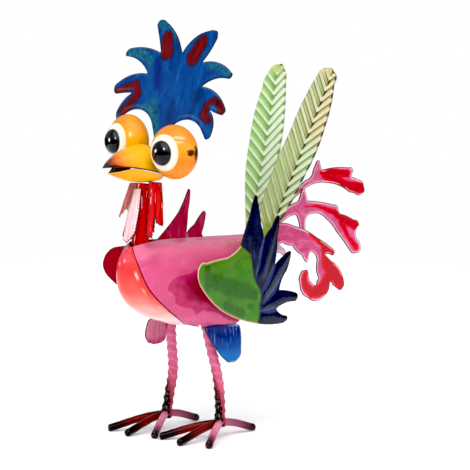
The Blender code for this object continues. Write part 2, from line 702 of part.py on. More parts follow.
# Tail curls seen from the side: lane beside the middle, then back from the ankles, height, rise.
CURLS = {
    "tail_curl_upper": (-0.5, [
        (95.8, 175, 0), (102.8, 178, -4), (167.8, 228, -3.5), (207.8, 234.8, -2.6),
        (247.8, 222.3, -0.8), (260.8, 218.8, 1.4), (268.3, 220.5, 3.4), (272.3, 227, 3),
        (262.8, 235, 0.8), (251.2, 238.6, -1), (254.2, 244.6, 2.2), (246.8, 249, 1.6), (201.8, 249, -1),
        (197.8, 258, 2), (191.8, 257, 0.6), (184.8, 244.5, -1), (174.8, 240, 4), (99.8, 185, 0),
        (98.1, 183, 0)]),
    "tail_curl_middle": (0.5, [
        (95.8, 175, 0), (101.8, 177, -3), (135.8, 199.6, -1.4), (155.8, 205, -1.5), (161.8, 188, 0),
        (170.3, 186, 0), (170.8, 200, -1.5), (181.8, 204.4, -2.5), (203.8, 197.5, -1.2),
        (220.8, 182.6, -0.6), (243.8, 160.2, 1.6), (254.8, 157.6, 2), (261.4, 162, 1.8),
        (255.8, 172, -1), (252.8, 181, -1.2), (258.8, 186.5, 2.6), (249.8, 193.4, 1),
        (226.8, 201.4, -1), (223.8, 207.6, 1.6), (215.8, 211.8, 1), (173.8, 218.6, 0),
        (169.8, 230, 1.8), (163.8, 229, -0.5), (158.8, 218.8, 1.2), (129.8, 209, 2), (98.1, 183, 0)]),
    "tail_curl_lower": (1.5, [
        (95.8, 175, 0), (101.8, 176, 1.5), (132.8, 178, 1.2), (147.8, 174, 1.6), (161.8, 163, 0.4),
        (165.8, 157.5, 0.6), (169.4, 154.4, 0.8), (172.4, 158, -0.4), (174.8, 165, -3.5),
        (185.3, 154, 2.2), (188.6, 136, 1.6), (185.3, 130.4, -1.2), (179.3, 132, -2.4),
        (172.4, 144.6, 1.4), (165.8, 147, 1.6), (159.8, 143.6, 2.2), (158.8, 134, 4),
        (171.8, 117.4, 4.4), (195.8, 116.4, 3.4), (205.8, 131, -1), (210.8, 127, 0),
        (219.8, 121.6, 1.6), (226.8, 123, 1.6), (228.4, 130.6, 3.6), (208.8, 153, 0),
        (198.8, 160.6, -1), (210.8, 158, 0), (213.8, 161.6, 0.6), (209.8, 166.4, 0.6),
        (184.8, 180, 1.6), (150.8, 194, 1.4), (124.8, 199, 0), (98.1, 183, 0)]),
    "tail_curl_inner": (-1.5, [
        (97.3, 166, 0), (104.8, 162, -1), (117.8, 157.5, 0), (119.8, 153.5, 0.6), (122.8, 155, 0),
        (127.8, 166.5, -1), (136.8, 166, -1.5), (142.8, 160, -1), (141.8, 151.6, 2), (146.6, 151.4, 1),
        (147.8, 162, 2), (139.8, 172, 2), (122.8, 177, 1), (97.3, 178, 0)]),
}


def tail_curl(name, root):
    lane, shape = CURLS[name]

    def place(u, v):
        return lane * (CURL_PITCH + CURL_FAN * (u - CURL_ROOT)), u, v

    verts, faces = cut_sheet(arc_path(shape, 34.0), place)
    return solid(name, verts, faces, "curl_pink", Matrix(), root)


# Assembly.
def empty(name, frame, parent=None):
    made = bpy.data.objects.new(name, None)
    bpy.context.collection.objects.link(made)
    made.parent = parent
    move, turn, _ = frame.decompose()
    made.location = move * MM
    made.rotation_euler = turn.to_euler()
    return made


def build():
    for old in list(bpy.data.objects):
        bpy.data.objects.remove(old, do_unlink=True)
    root = empty("rooster", Matrix.Translation((-PLAN_ORIGIN[0], -PLAN_ORIGIN[1], 0.0)))
    head = empty("head", frame_at(HEAD_CENTRE, [("Z", HEAD_YAW), ("Y", HEAD_ROLL)]), root)
    sides = (("left", 1), ("right", -1))
    for side, sign in sides:
        body_shell(side, sign, root)
        wing(side, sign, root)
        thigh(side, sign, root)
        feather(side, sign, root)
    breast_panel(root)
    foot("left", 1, LEFT_TOE_ANGLES, root)
    foot("right", -1, RIGHT_TOE_ANGLES, root)
    cutters = [eye_cutter(side, sign, head) for side, sign in sides]
    for side, sign in sides:
        eye(side, sign, head)
    beak(head, cutters)
    crest(head, cutters)
    neck(root)
    for name in HACKLES:
        hackle(name, root)
    for name in CURLS:
        tail_curl(name, root)


build()
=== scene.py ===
"""Visual model of the painted sheet-metal rooster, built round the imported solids.

Plan lengths are in millimetres. The rooster faces -Y, its left side is +X and +Z is up.
"""

import math

import bpy
import numpy as np
from mathutils import Matrix, Vector, geometry


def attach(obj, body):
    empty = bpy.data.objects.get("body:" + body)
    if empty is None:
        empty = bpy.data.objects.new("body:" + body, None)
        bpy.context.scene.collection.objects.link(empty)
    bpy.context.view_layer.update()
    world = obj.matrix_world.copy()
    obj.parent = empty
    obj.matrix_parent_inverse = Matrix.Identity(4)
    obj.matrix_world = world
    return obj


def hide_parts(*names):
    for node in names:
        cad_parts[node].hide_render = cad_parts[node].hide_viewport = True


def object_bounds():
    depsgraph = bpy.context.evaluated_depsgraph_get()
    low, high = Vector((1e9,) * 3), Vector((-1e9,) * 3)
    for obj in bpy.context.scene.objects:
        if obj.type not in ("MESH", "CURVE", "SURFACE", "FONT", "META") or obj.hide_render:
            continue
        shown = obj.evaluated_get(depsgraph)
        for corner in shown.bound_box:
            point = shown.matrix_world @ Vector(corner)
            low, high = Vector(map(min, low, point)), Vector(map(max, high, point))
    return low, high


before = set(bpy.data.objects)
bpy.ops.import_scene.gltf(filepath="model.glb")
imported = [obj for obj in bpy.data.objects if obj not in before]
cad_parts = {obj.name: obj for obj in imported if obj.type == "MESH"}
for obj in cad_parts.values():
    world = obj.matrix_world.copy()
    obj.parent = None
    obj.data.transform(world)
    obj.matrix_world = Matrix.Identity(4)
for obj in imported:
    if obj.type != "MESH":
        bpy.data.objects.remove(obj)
CAD_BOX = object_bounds()

MM = 0.001
SHEET = 1.2
GAP = 0.3
PLAN_ORIGIN = np.array([5.68, 79.67, 0])
SIDES = {"left": 1, "right": -1}
# Points keep this far inside the solids' box, in metres.
BOX_MARGIN = 2e-6
# The rim distance of round pieces, in millimetres, which puts them out of reach of any edge paint.
FAR_FROM_RIM = 9


# Curves and outlines.
def spline(points, t):
    """Points at t in 0..1 on a smooth curve through the first axis of an array."""
    p = np.asarray(points, float)
    n = len(p) - 1
    t = np.asarray(t, float)
    i = np.minimum((t * n).astype(int), n - 1)
    f = (t * n - i).reshape(t.shape + (1,) * (p.ndim - 1))
    q = np.concatenate([[2 * p[0] - p[1]], p, [2 * p[-1] - p[-2]]])
    a, b, c, d = q[i], q[i + 1], q[i + 2], q[i + 3]
    return 0.5 * (2 * b + (c - a) * f + (2 * a - 5 * b + 4 * c - d) * f ** 2
                  + (3 * b - a - 3 * c + d) * f ** 3)


def arc_path(points, turn=9, longest=1.4):
    """Closed outline from corners (x, y), or (x, y, bulge) where an arc leads to the next one."""
    path = []
    for (x0, y0, *bulge), (x1, y1, *_) in zip(points, points[1:] + points[:1]):
        chord = math.hypot(x1 - x0, y1 - y0)
        if not bulge:
            steps = max(1, math.ceil(chord / longest))
            path += [(x0 + (x1 - x0) * k / steps, y0 + (y1 - y0) * k / steps) for k in range(steps)]
            continue
        half = 2 * math.atan(2 * bulge[0] / chord)
        radius = chord / (2 * math.sin(half))
        steps = max(2, round(2 * abs(half) / math.radians(turn)), math.ceil(chord / longest))
        ax, ay = (x1 - x0) / chord, (y1 - y0) / chord
        for k in range(steps):
            angle = half * (2 * k / steps - 1)
            run = chord / 2 + radius * math.sin(angle)
            rise = radius * (math.cos(angle) - math.cos(half))
            path.append((x0 + ax * run + ay * rise, y0 + ay * run - ax * rise))
    return path


def eased(path, rounds):
    """The outline with its corners cut round, as shears leave them."""
    p = np.array(path)
    for _ in range(rounds):
        p = p / 2 + (np.roll(p, 1, 0) + np.roll(p, -1, 0)) / 4
    return p


def segment_gap(p, start, end):
    """Each point's distance to a straight segment, and where along it the nearest spot is."""
    d = np.subtract(end, start)
    t = np.clip(((p - start) @ d) / max(d @ d, 1e-9), 0, 1)
    return np.linalg.norm(p - (start + t[:, None] * d), axis=1), t


def to_strokes(p, strokes):
    """How far inside the nearest brushed stroke each point is; a stroke is (x, y, radius) points."""
    best = np.full(len(p), -99)
    for line in strokes:
        for a, b in zip(np.array(line[:-1], float), np.array(line[1:], float)):
            gap, t = segment_gap(p, a[:2], b[:2])
            best = np.maximum(best, a[2] + (b[2] - a[2]) * t - gap)
    return best


def rim_distance(p, path):
    """Distance of each point to a closed outline."""
    a = np.array(path)
    return np.min([segment_gap(p, start, end)[0] for start, end in zip(a, np.roll(a, -1, 0))], axis=0)


def within(p, path):
    """Which points lie inside a closed outline."""
    hit = np.zeros(len(p), bool)
    a = np.array(path)
    for (x0, y0), (x1, y1) in zip(a, np.roll(a, -1, 0)):
        if y0 != y1:
            crosses = (y0 > p[:, 1]) != (y1 > p[:, 1])
            hit ^= crosses & (p[:, 0] < x0 + (p[:, 1] - y0) * (x1 - x0) / (y1 - y0))
    return hit


def region(p, path):
    """Signed distance to a closed outline, positive inside."""
    return rim_distance(p, path) * np.where(within(p, path), 1, -1)


def flat_sheet(path, spacing):
    """Points and triangles filling a closed outline; its inner points keep clear of the rim."""
    row_pitch, clearance = spacing * 0.87, spacing * 0.55
    low, high = np.min(path, axis=0), np.max(path, axis=0)
    rows = np.arange(low[1] + spacing / 2, high[1], row_pitch)
    grid = np.array([(x + (spacing / 2 if k % 2 else 0), y) for k, y in enumerate(rows)
                     for x in np.arange(low[0], high[0], spacing)])
    grid = grid[within(grid, path)]
    grid = grid[rim_distance(grid, path) > clearance]
    points = [Vector(q) for q in path] + [Vector(q) for q in grid]
    edges = [(i, (i + 1) % len(path)) for i in range(len(path))]
    made, _, tris, *_ = geometry.delaunay_2d_cdt(points, edges, [], 1, 1e-4)
    return np.array([tuple(q) for q in made]), np.array([tuple(t) for t in tris])


def cut_out(corners, spacing, longest=1.4, rounds=1):
    """A cut sheet lying flat: its points, its triangles and each point's distance to the cut edge."""
    path = eased(arc_path(corners, longest=longest), rounds)
    flat, faces = flat_sheet(path, spacing)
    return flat, faces, rim_distance(flat, path)


def grid_faces(rows, cols, wrap=False):
    """Quads between the rows and columns of a grid of points."""
    at = np.arange(rows * cols).reshape(rows, cols)
    if wrap:
        at = np.concatenate([at, at[:, :1]], 1)
    return np.stack([at[:-1, :-1], at[:-1, 1:], at[1:, 1:], at[1:, :-1]], -1).reshape(-1, 4)


def tube_faces(rows, sides):
    """Faces of a closed tube of rings, whose two end points come last."""
    faces = list(grid_faces(rows, sides, True))
    last = rows * sides
    for k in range(sides):
        n = (k + 1) % sides
        faces += [(last, n, k), (last + 1, last - sides + k, last - sides + n)]
    return faces


def wobble(p, scale, seed=0):
    """Smooth low waves over a sheet, the unevenness of hand dishing, from -1 to 1."""
    x, y = p[:, 0] * scale + seed, p[:, 1] * scale - seed * 0.7
    return (np.sin(x + 1.3 * np.sin(y * 0.9)) + np.sin(y * 1.31 + 1.7 * np.sin(x * 0.63 + seed))
            + 0.6 * np.sin(2.3 * x - 1.9 * y + seed * 2)) / 2.6


def fade_in(value, reach):
    """1 at and beyond reach and 0 at and below zero, straight between."""
    return np.clip(value / reach, 0, 1)


# Pieces.
def place(matrix, p):
    """The points moved by a matrix."""
    m = np.array(matrix)
    return p @ m[:3, :3].T + m[:3, 3]


def turned(spot, *turns):
    """A matrix that turns by (axis, degrees) in order and then moves to a spot."""
    made = Matrix.Translation(Vector(spot))
    for axis, degrees in turns:
        made = made @ Matrix.Rotation(math.radians(degrees), 4, axis)
    return made


def piece(name, verts, faces, paint, node, plan, zones=None, rim=None, crease=50):
    """A mesh that rides on the rooster, with the plan, paint zones and rim distance it is painted by."""
    mesh = bpy.data.meshes.new(name)
    low, high = (np.array(corner) for corner in CAD_BOX)
    placed = np.clip((verts - PLAN_ORIGIN) * MM, low + BOX_MARGIN, high - BOX_MARGIN)
    mesh.from_pydata(placed.tolist(), [], [list(map(int, f)) for f in faces])
    if rim is None:
        rim = np.full(len(verts), FAR_FROM_RIM)
    layers = (("plan", "FLOAT_VECTOR", "vector", plan), ("zones", "FLOAT_VECTOR", "vector", zones),
              ("rim", "FLOAT", "value", rim))
    for label, kind, field, values in layers:
        if values is not None:
            layer = mesh.attributes.new(label, kind, "POINT")
            layer.data.foreach_set(field, np.asarray(values, np.float32).ravel())
    mesh.validate()
    mesh.shade_smooth()
    mesh.set_sharp_from_angle(angle=math.radians(crease))
    mesh.materials.append(paint)
    made = bpy.data.objects.new(name, mesh)
    bpy.context.scene.collection.objects.link(made)
    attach(made, "root")
    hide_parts(node)


def normals_of(base, faces):
    """A unit normal at each point, averaged over the faces round it."""
    a, b, c = base[faces[:, 0]], base[faces[:, 1]], base[faces[:, 2]]
    n = np.cross(b - a, c - a) if faces.shape[1] == 3 else np.cross(c - a, base[faces[:, 3]] - b)
    out = np.zeros_like(base)
    for k in range(faces.shape[1]):
        np.add.at(out, faces[:, k], n)
    return out / np.maximum(np.linalg.norm(out, axis=1, keepdims=True), 1e-12)


def sheet(name, cut, base, way, paint, node, zones=None, relief=0, matrix=Matrix(),
          walls=(SHEET / 2, SHEET / 2), soften=0.3):
    """Sheet metal with a softened cut edge, on a base surface.

    cut is its flat pattern, faces and edge distances, way is where its front looks, relief lifts both its
    faces, and walls is how far they stand out from the base and into it.
    """
    flat, faces, rim = cut
    count = len(base)
    normal = normals_of(base, faces)
    if (normal * way).sum() < 0:
        faces, normal = faces[:, ::-1], -normal
    start, end = faces.ravel(), np.roll(faces, -1, 1).ravel()
    open_edge = ~np.isin(start * count + end, end * count + start)
    start, end = start[open_edge], end[open_edge]
    side = np.cross(normal[start], base[end] - base[start])
    inward = np.zeros_like(base)
    np.add.at(inward, start, side)
    np.add.at(inward, end, side)
    inward /= np.maximum(np.linalg.norm(inward, axis=1, keepdims=True), 1e-9)
    relief, out, into = (np.broadcast_to(v, count)[:, None] for v in (relief, *walls))
    shifted = base + inward * soften
    edge = np.unique(start)
    middle = (base + normal * ((out - into) / 2 + relief))[edge]
    verts = np.concatenate([shifted + normal * (out + relief), shifted - normal * (into - relief), middle])
    if rim is None:
        rim = np.min([np.linalg.norm(base - q, axis=1) for q in base[edge]], axis=0)
    rim = np.concatenate([rim, rim, np.zeros(len(edge))])
    plan = np.concatenate([np.column_stack([part, np.full(len(part), s)])
                           for part, s in ((flat, 1), (flat, -1), (flat[edge], 0))])
    if zones is not None:
        zones = np.concatenate([zones, zones, zones[edge]])
    lookup = np.zeros(count, int)
    lookup[edge] = np.arange(len(edge)) + 2 * count
    all_faces = [*faces, *(faces[:, ::-1] + count),
                 *np.column_stack([end, start, lookup[start], lookup[end]]),
                 *np.column_stack([lookup[end], lookup[start], start + count, end + count])]
    piece(name, place(matrix, verts), all_faces, paint, node, plan, zones, rim, 60)


def bar(name, centres, radii, paint, node, sides, ribs=None, zones=None):
    """Round bar with closed ends; ribs(along, angle) is added to its radii, and zones(ring) paints it."""
    count = len(centres)
    ahead = np.gradient(centres, axis=0)
    ahead /= np.linalg.norm(ahead, axis=1, keepdims=True)
    along = np.concatenate([[0], np.cumsum(np.linalg.norm(np.diff(centres, axis=0), axis=1))])
    side = np.zeros_like(centres)
    side[0] = np.cross(ahead[0], (0.3, 0.9, 0.1))
    for i in range(count):
        s = side[max(i - 1, 0)]
        s = s - ahead[i] * (s @ ahead[i])
        side[i] = s / np.linalg.norm(s)
    angle = 2 * np.pi * np.arange(sides) / sides
    radius = radii[:, None] + (ribs(along[:, None], angle[None]) if ribs else 0)
    around = side[:, None] * np.cos(angle)[:, None] + np.cross(ahead, side)[:, None] * np.sin(angle)[:, None]
    ring = centres[:, None] + around * radius[..., None]
    verts = np.concatenate([ring.reshape(-1, 3), centres[:1], centres[-1:]])
    plan = np.zeros((count * sides + 2, 3))
    plan[:-2, 0] = np.tile(angle * np.mean(radii), count)
    plan[:-2, 1] = np.repeat(along, sides)
    plan[:-2, 2] = np.repeat(along / along[-1], sides)
    plan[-1, 1:] = along[-1], 1
    if zones is not None:
        marks = zones(ring).reshape(-1, 3)
        zones = np.concatenate([marks, marks[:1], marks[-1:]])
    piece(name, verts, tube_faces(count, sides), paint, node, plan, zones)


def spun(name, profile, paint, node, matrix, sides=96):
    """Solid of revolution about the local -Y axis from (radius, along) points that start and end on it."""
    profile = np.array(profile, float)
    angle = 2 * np.pi * np.arange(sides) / sides
    radius, along = profile[1:-1, :1], profile[1:-1, 1:]
    ring = np.stack([radius * np.cos(angle), np.repeat(-along, sides, 1), radius * np.sin(angle)], -1)
    local = np.concatenate([ring.reshape(-1, 3), [[0, -profile[0, 1], 0], [0, -profile[-1, 1], 0]]])
    piece(name, place(matrix, local), tube_faces(len(radius), sides), paint, node, local)


# Paint.
def linear(code):
    """The linear colour of an sRGB hex code."""
    c = [int(code[i:i + 2], 16) / 255 for i in (1, 3, 5)]
    return tuple(v / 12.92 if v <= 0.04045 else ((v + 0.055) / 1.055) ** 2.4 for v in c) + (1,)


class Nodes:
    """A node tree built call by call; each call gives the socket that the next one takes."""

    def __init__(self, owner):
        owner.use_nodes = True
        self.tree = owner.node_tree

    def fill(self, node, inputs):
        """Link or set a node's inputs."""
        for key, value in inputs.items():
            if isinstance(value, bpy.types.NodeSocket):
                self.tree.links.new(value, node.inputs[key])
            else:
                node.inputs[key].default_value = value

    def put(self, kind, inputs, output=0, **settings):
        node = self.tree.nodes.new("ShaderNode" + kind)
        for key, value in settings.items():
            setattr(node, key, value)
        self.fill(node, inputs)
        return node.outputs[output]

    def split(self, vector):
        node = self.tree.nodes.new("ShaderNodeSeparateXYZ")
        self.tree.links.new(vector, node.inputs[0])
        return node.outputs[0], node.outputs[1], node.outputs[2]


class Enamel(Nodes):
    """Brushed enamel, laid on in coats and worked out from a piece's plan, zones and rim distance."""

    def __init__(self, name):
        self.made = bpy.data.materials.new(name)
        super().__init__(self.made)
        self.plan = self.put("Attribute", {}, "Vector", attribute_name="plan")
        self.u, self.v, self.side = self.split(self.plan)
        self.a, self.b, self.c = self.split(self.put("Attribute", {}, "Vector", attribute_name="zones"))
        self.rim = self.put("Attribute", {}, "Fac", attribute_name="rim")
        self.back = self.soft(self.side, -0.2, -0.9)
        self.colour = None

    def math(self, operation, a, b=0):
        return self.put("Math", {0: a, 1: b}, operation=operation)

    def add(self, a, b):
        return self.math("ADD", a, b)

    def times(self, first, *others):
        for other in others:
            first = self.math("MULTIPLY", first, other)
        return first

    def noise(self, scale, detail=3, rough=0.55, shift=0, bend=0):
        """Noise from 0 to 1 over the plan; scale is per millimetre, for all its axes or for each."""
        if not isinstance(scale, tuple):
            scale = (scale,) * 3
        moved = self.put("VectorMath", {0: self.plan, 1: scale, 2: (shift,) * 3}, operation="MULTIPLY_ADD")
        return self.put("TexNoise", {"Vector": moved, "Scale": 1, "Detail": detail, "Roughness": rough,
                                     "Distortion": bend})

    def waves(self, reach, *noise):
        """Noise that swings by half its reach to either side of zero."""
        return self.times(self.add(self.noise(*noise), -0.5), reach)

    def far(self, middle, sizes):
        """Distance from a middle in the plan, measured in the sizes along its three axes."""
        scale, shift = [1 / s for s in sizes], [-m / s for m, s in zip(middle, sizes)]
        moved = self.put("VectorMath", {0: self.plan, 1: scale, 2: shift}, operation="MULTIPLY_ADD")
        return self.put("VectorMath", {0: moved}, 1, operation="LENGTH")

    def soft(self, value, low, high):
        """0 below low and 1 above high, smooth between; high may be the lower of the two."""
        return self.put("MapRange", {"Value": value, "From Min": low, "From Max": high},
                        interpolation_type="SMOOTHSTEP")

    def stripe(self, value, middle, wide, narrow):
        """1 within narrow of a value's middle and 0 beyond wide."""
        return self.soft(self.math("ABSOLUTE", self.add(value, -middle)), wide, narrow)

    def ragged(self, value, width, scale=0.25, reach=3, shift=0):
        """A zone's share with an uneven brushed border."""
        return self.soft(self.add(value, self.waves(reach, scale, 4, 0.6, shift)), -width, width)

    def ramp(self, value, *stops):
        node = self.tree.nodes.new("ShaderNodeValToRGB")
        node.color_ramp.interpolation = "EASE"
        points = node.color_ramp.elements
        while len(points) < len(stops):
            points.new(0.5)
        for point, (spot, colour) in zip(points, stops):
            point.position = spot
            point.color = linear(colour)
        self.tree.links.new(value, node.inputs[0])
        return node.outputs[0]

    def over(self, under, tone, *shares):
        """A tone laid over another as far as the product of the shares."""
        under, tone = (linear(v) if isinstance(v, str) else v for v in (under, tone))
        return self.put("Mix", {0: self.times(*shares), 6: under, 7: tone}, 2, data_type="RGBA")

    def lay(self, tone, *shares):
        """The next coat over the paint so far."""
        self.colour = self.over(self.colour, tone, *shares)

    def finish(self, rough, brush, depth, coat, drift, edge=None, edge_width=0.8):
        """Brush marks, uneven gloss, slight colour drift and an optional line along the cut edge."""
        strokes = self.noise(brush, 5, 0.62, 3, 0.4)
        level = self.add(self.waves(drift * 2.2, (0.05, 0.03, 0.05), 3, 0.6, 7),
                         self.times(self.add(strokes, -0.5), drift * 1.8))
        self.colour = self.put("HueSaturation", {"Color": self.colour, "Value": self.add(level, 1)})
        if edge:
            ragged_rim = self.add(self.rim, self.waves(0.9, 0.6, 3, 0.6, 11))
            self.lay(edge, self.soft(ragged_rim, edge_width, edge_width * 0.35))
        gloss = self.add(self.times(self.noise((0.12, 0.08, 0.12), 4, 0.6, 5), 0.22), rough - 0.11)
        surface = self.add(self.times(strokes, 0.7), self.times(self.noise(1.4, 2, 0.5, 1), 0.12))
        bump = self.put("Bump", {"Height": surface, "Strength": 0.6, "Distance": depth * MM})
        self.fill(self.tree.nodes["Principled BSDF"], {
            "Base Color": self.colour, "Roughness": gloss, "Normal": bump, "Coat Roughness": 0.06,
            "Specular IOR Level": 0.08 + 0.2 * coat, "Coat Weight": coat * 0.3})
        return self.made


# Body.
RIDGE_X = (SHEET + GAP) / 2
BODY_LINES = [
    [(1.5, -84, 191), (12.5, -88, 176), (20.5, -80, 151), (23.5, -59, 131), (21, -42, 120.5),
     (14.5, -26, 112.5)],
    [(8.8, -76, 194), (23, -70, 185), (32, -61, 165), (35, -47, 142), (33.5, -32, 124), (26, -18, 111.5)],
    [(7.6, -62, 195), (25, -54, 189), (38.5, -42, 166), (42, -30, 142), (41, -18, 123), (37, -9, 109)],
    [(RIDGE_X, -32, 194.2), (26, -26, 188.5), (41, -15, 168), (45, -4, 143), (44.5, 3, 124), (43, 9, 107.5)],
    [(RIDGE_X, 18, 192.4), (25, 20, 187), (40, 24, 167), (45, 27, 145), (44.5, 25, 129), (43.5, 20.5, 113)],
    [(RIDGE_X, 58, 190.8), (18, 58, 185), (30, 58, 166), (35, 56, 147), (34.5, 54, 132), (30, 51, 117)],
    [(RIDGE_X, 86, 190), (7, 84, 184), (12, 81, 166), (14, 78, 147), (14, 74, 131), (11, 69, 113)],
    [(RIDGE_X, 99.4, 189.6), (RIDGE_X, 95, 174), (RIDGE_X, 91, 158), (RIDGE_X, 86, 142), (RIDGE_X, 80, 126),
     (RIDGE_X, 74, 110)],
]
BREAST_TAIL = [(14.5, -26, 112.5), (11, -14, 110), (6.5, -2, 107.4), (2.2, 9, 105)]
BREAST_BULGE = 12.5
BREAST_SWELL = [0.05, 0.85, 1, 0.62, 0.26, 0.08, 0.03]
# The wing's painted shadow, a crimson patch beside and under the wing, and the painted shade behind the seam,
# from the side (y, z).
WING_SHADOW = [
    (-64.3, 149.3), (-64.1, 155.7), (-61, 160.7), (-53.3, 163.4), (-42.3, 165), (-36, 167.7), (-16, 166),
    (4, 152), (26, 140), (52, 128), (50, 116), (30, 112), (10, 114), (-2, 119.5), (-9, 122.5), (-17.7, 126.5),
    (-26, 128.6), (-31.3, 124), (-38.3, 130.8), (-48, 133.2), (-54.4, 136.5), (-55.4, 144)]
SHADE = [(-79, 190), (-76, 193), (-60, 194), (-58, 190), (-68, 184), (-74, 172), (-78, 176)]


def body_paint():
    e = Enamel("body_pink_enamel")
    strokes = e.noise((0.025, 0.13, 0.1), 5, 0.6, 2, 0.6)
    e.colour = e.ramp(strokes, (0.25, "#C44670"), (0.5, "#D25480"), (0.75, "#E26A94"))
    # Painted reflections: the enamel is lighter pink along the top and along the lower band, where it
    # reflects the light.
    e.lay("#DC7090", e.soft(e.c, 176, 190), 0.75)
    e.lay("#DE6592", e.soft(e.c, 134, 116), 0.8)
    # Painted shade behind the seam.
    e.lay("#9C3A62", e.ragged(e.b, 4.5, 0.1, 6, 3), 0.3)
    # Painted shadow of the wing: deeper crimson beside and under it, deepest in its middle.
    wing_shadow_share = e.ragged(e.a, 0.9, (0.07, 0.12, 0.1), 4.5, 4)
    e.lay(e.ramp(strokes, (0.3, "#A41450"), (0.7, "#C02C62")), wing_shadow_share, 0.85)
    inner = e.ragged(e.add(e.a, -7.5), 3, (0.08, 0.14, 0.1), 9, 6)
    e.lay(e.ramp(strokes, (0.3, "#8E0030"), (0.7, "#A80240")), inner, 0.92)
    # Painted shade: the inner faces are dark crimson, the shade inside the hollow body.
    e.lay(e.ramp(strokes, (0.3, "#5A1428"), (0.7, "#8A2440")), e.back)
    return e.finish(0.26, (0.09, 0.4, 0.3), 0.25, 0.4, 0.05, "#8A1C36", 0.6)


def breast_paint():
    e = Enamel("breast_coral_enamel")
    # Painted highlight: the coral pales to near white towards the bottom, where strong light washes it out.
    fall = e.add(e.a, e.waves(10, 0.08, 3, 0.5, 4))
    e.colour = e.ramp(e.soft(fall, 0, 100), (0, "#E63C54"), (0.2, "#EC403E"), (0.42, "#F85A50"),
                      (0.6, "#FF8A80"), (0.76, "#FFB9B0"), (0.92, "#FFE4DC"))
    e.lay("#F23C3A", e.soft(e.b, 9, 0), e.soft(fall, 86, 40))
    # Painted shade: the inner face is dark, the shade inside the hollow body.
    e.lay("#7A2830", e.back)
    # Painted highlight: a pale broken line 3 mm in from the seam.
    e.lay("#FFE2DA", e.stripe(e.b, 3, 1.2, 0.4), e.soft(e.noise(0.05, 2, 0.5, 61), 0.5, 0.6), 0.7)
    return e.finish(0.24, (0.1, 0.25, 0.2), 0.15, 0.5, 0.03, "#A0222C", 0.5)


BODY = body_paint()
ROWS, COLUMNS, BREAST_COLUMNS = 100, 64, 41
along, down = np.linspace(0, 1, ROWS), np.linspace(0, 1, COLUMNS)
surface = spline(np.stack([spline(line, down) for line in BODY_LINES]), along)
flat = np.stack(np.meshgrid(along * 190, down * 96, indexing="ij"), -1).reshape(-1, 2)
for side, sign in SIDES.items():
    base = surface.reshape(-1, 3) * (sign, 1, 1)
    at = base[:, 1:]
    zones = np.column_stack([region(at, WING_SHADOW), region(at, SHADE), at[:, 1]])
    sheet("body_side_" + side, (flat, grid_faces(ROWS, COLUMNS), None), base, (sign, 0, 0), BODY,
          "body_shell_" + side, zones, wobble(flat, 0.055, 2 + sign) * 0.22)

seam = np.concatenate([spline(BODY_LINES[0], np.linspace(0, 1, 49)),
                       spline(BREAST_TAIL, np.linspace(0, 1, 17))[1:]])
ahead = np.gradient(seam, axis=0)
outward = np.column_stack([np.zeros(len(seam)), ahead[:, 2], -ahead[:, 1]])
outward /= np.linalg.norm(outward, axis=1, keepdims=True)
width = np.maximum(seam[:, :1] - 0.25, 0.9)
rise = BREAST_BULGE * spline(np.array(BREAST_SWELL)[:, None], np.linspace(0, 1, len(seam)))
across = np.linspace(-1, 1, BREAST_COLUMNS)
base = (seam[:, None] * (0, 1, 1) + (across * width)[..., None] * (1, 0, 0)
        + outward[:, None] * (rise * (1 - across ** 2))[..., None]).reshape(-1, 3)
flat = np.stack(np.meshgrid(np.linspace(0, 130, len(seam)), across * 22, indexing="ij"), -1).reshape(-1, 2)
to_seam = ((1 - abs(across)) * width).ravel()
zones = np.column_stack([196 - base[:, 2] + np.maximum(base[:, 1] + 60, 0) * 0.25, to_seam, to_seam])
sheet("breast_skin", (flat, grid_faces(len(seam), BREAST_COLUMNS), None), base,
      np.repeat(outward, BREAST_COLUMNS, 0), breast_paint(), "breast_panel", zones)


# Wings.
WING_OFFSET, WING_TOE_IN, WING_DISH = 51.4, 8.5, 4
WING_LOWER = [
    (-60, 165, 1), (-53, 153.5, 2), (-13, 126, 2), (50, 107, 1), (90, 102.8, 0.6), (99, 104.5, 2.4),
    (98, 110, -1.5), (81, 118.5, -2), (114, 122.5, 0.5), (118.5, 125.5, 1.6), (115.5, 131.5, 0.8),
    (86.5, 137, -2), (99.5, 155, 0.6), (107, 171.5, 1.4), (103.5, 174.6, 0.6), (93.5, 170.5, 0.6),
]
WING_UPPER = {
    "left": [
        (78.5, 162.5, 1.5), (83, 190, 0.8), (87, 208.5, 1.9), (82.6, 211.5, 0.6), (74, 201, 0.8),
        (59.8, 190, 0.5), (54, 207.6, 1), (48, 231, 2.3), (43.3, 233.5, 0.5), (34, 213, 0.6),
        (19.4, 187.5, -1.6), (-6, 178, 0.4), (-44, 176.4, 6)],
    "right": [
        (74, 158, 1.5), (60, 190, 0.8), (65.6, 209.5, 1.6), (61.6, 212.6, 0.6), (50.5, 200, 0.8),
        (40, 191.5, 0.3), (42.4, 214, 0.6), (45.4, 233, 1.6), (42.2, 235.8, -0.6), (30, 213.5, -0.8),
        (2, 187, -0.8), (-18, 183.6, 0.4), (-42, 183.6, 6)],
}
# Where green meets navy as (height, back), from the lower edge up.
BORDER = [(107, 49), (115, 52), (126, 52), (133, 55), (140, 53.5), (149, 45), (156, 41), (165, 39), (177, 36),
          (181, 30), (187, 19), (196, 12)]
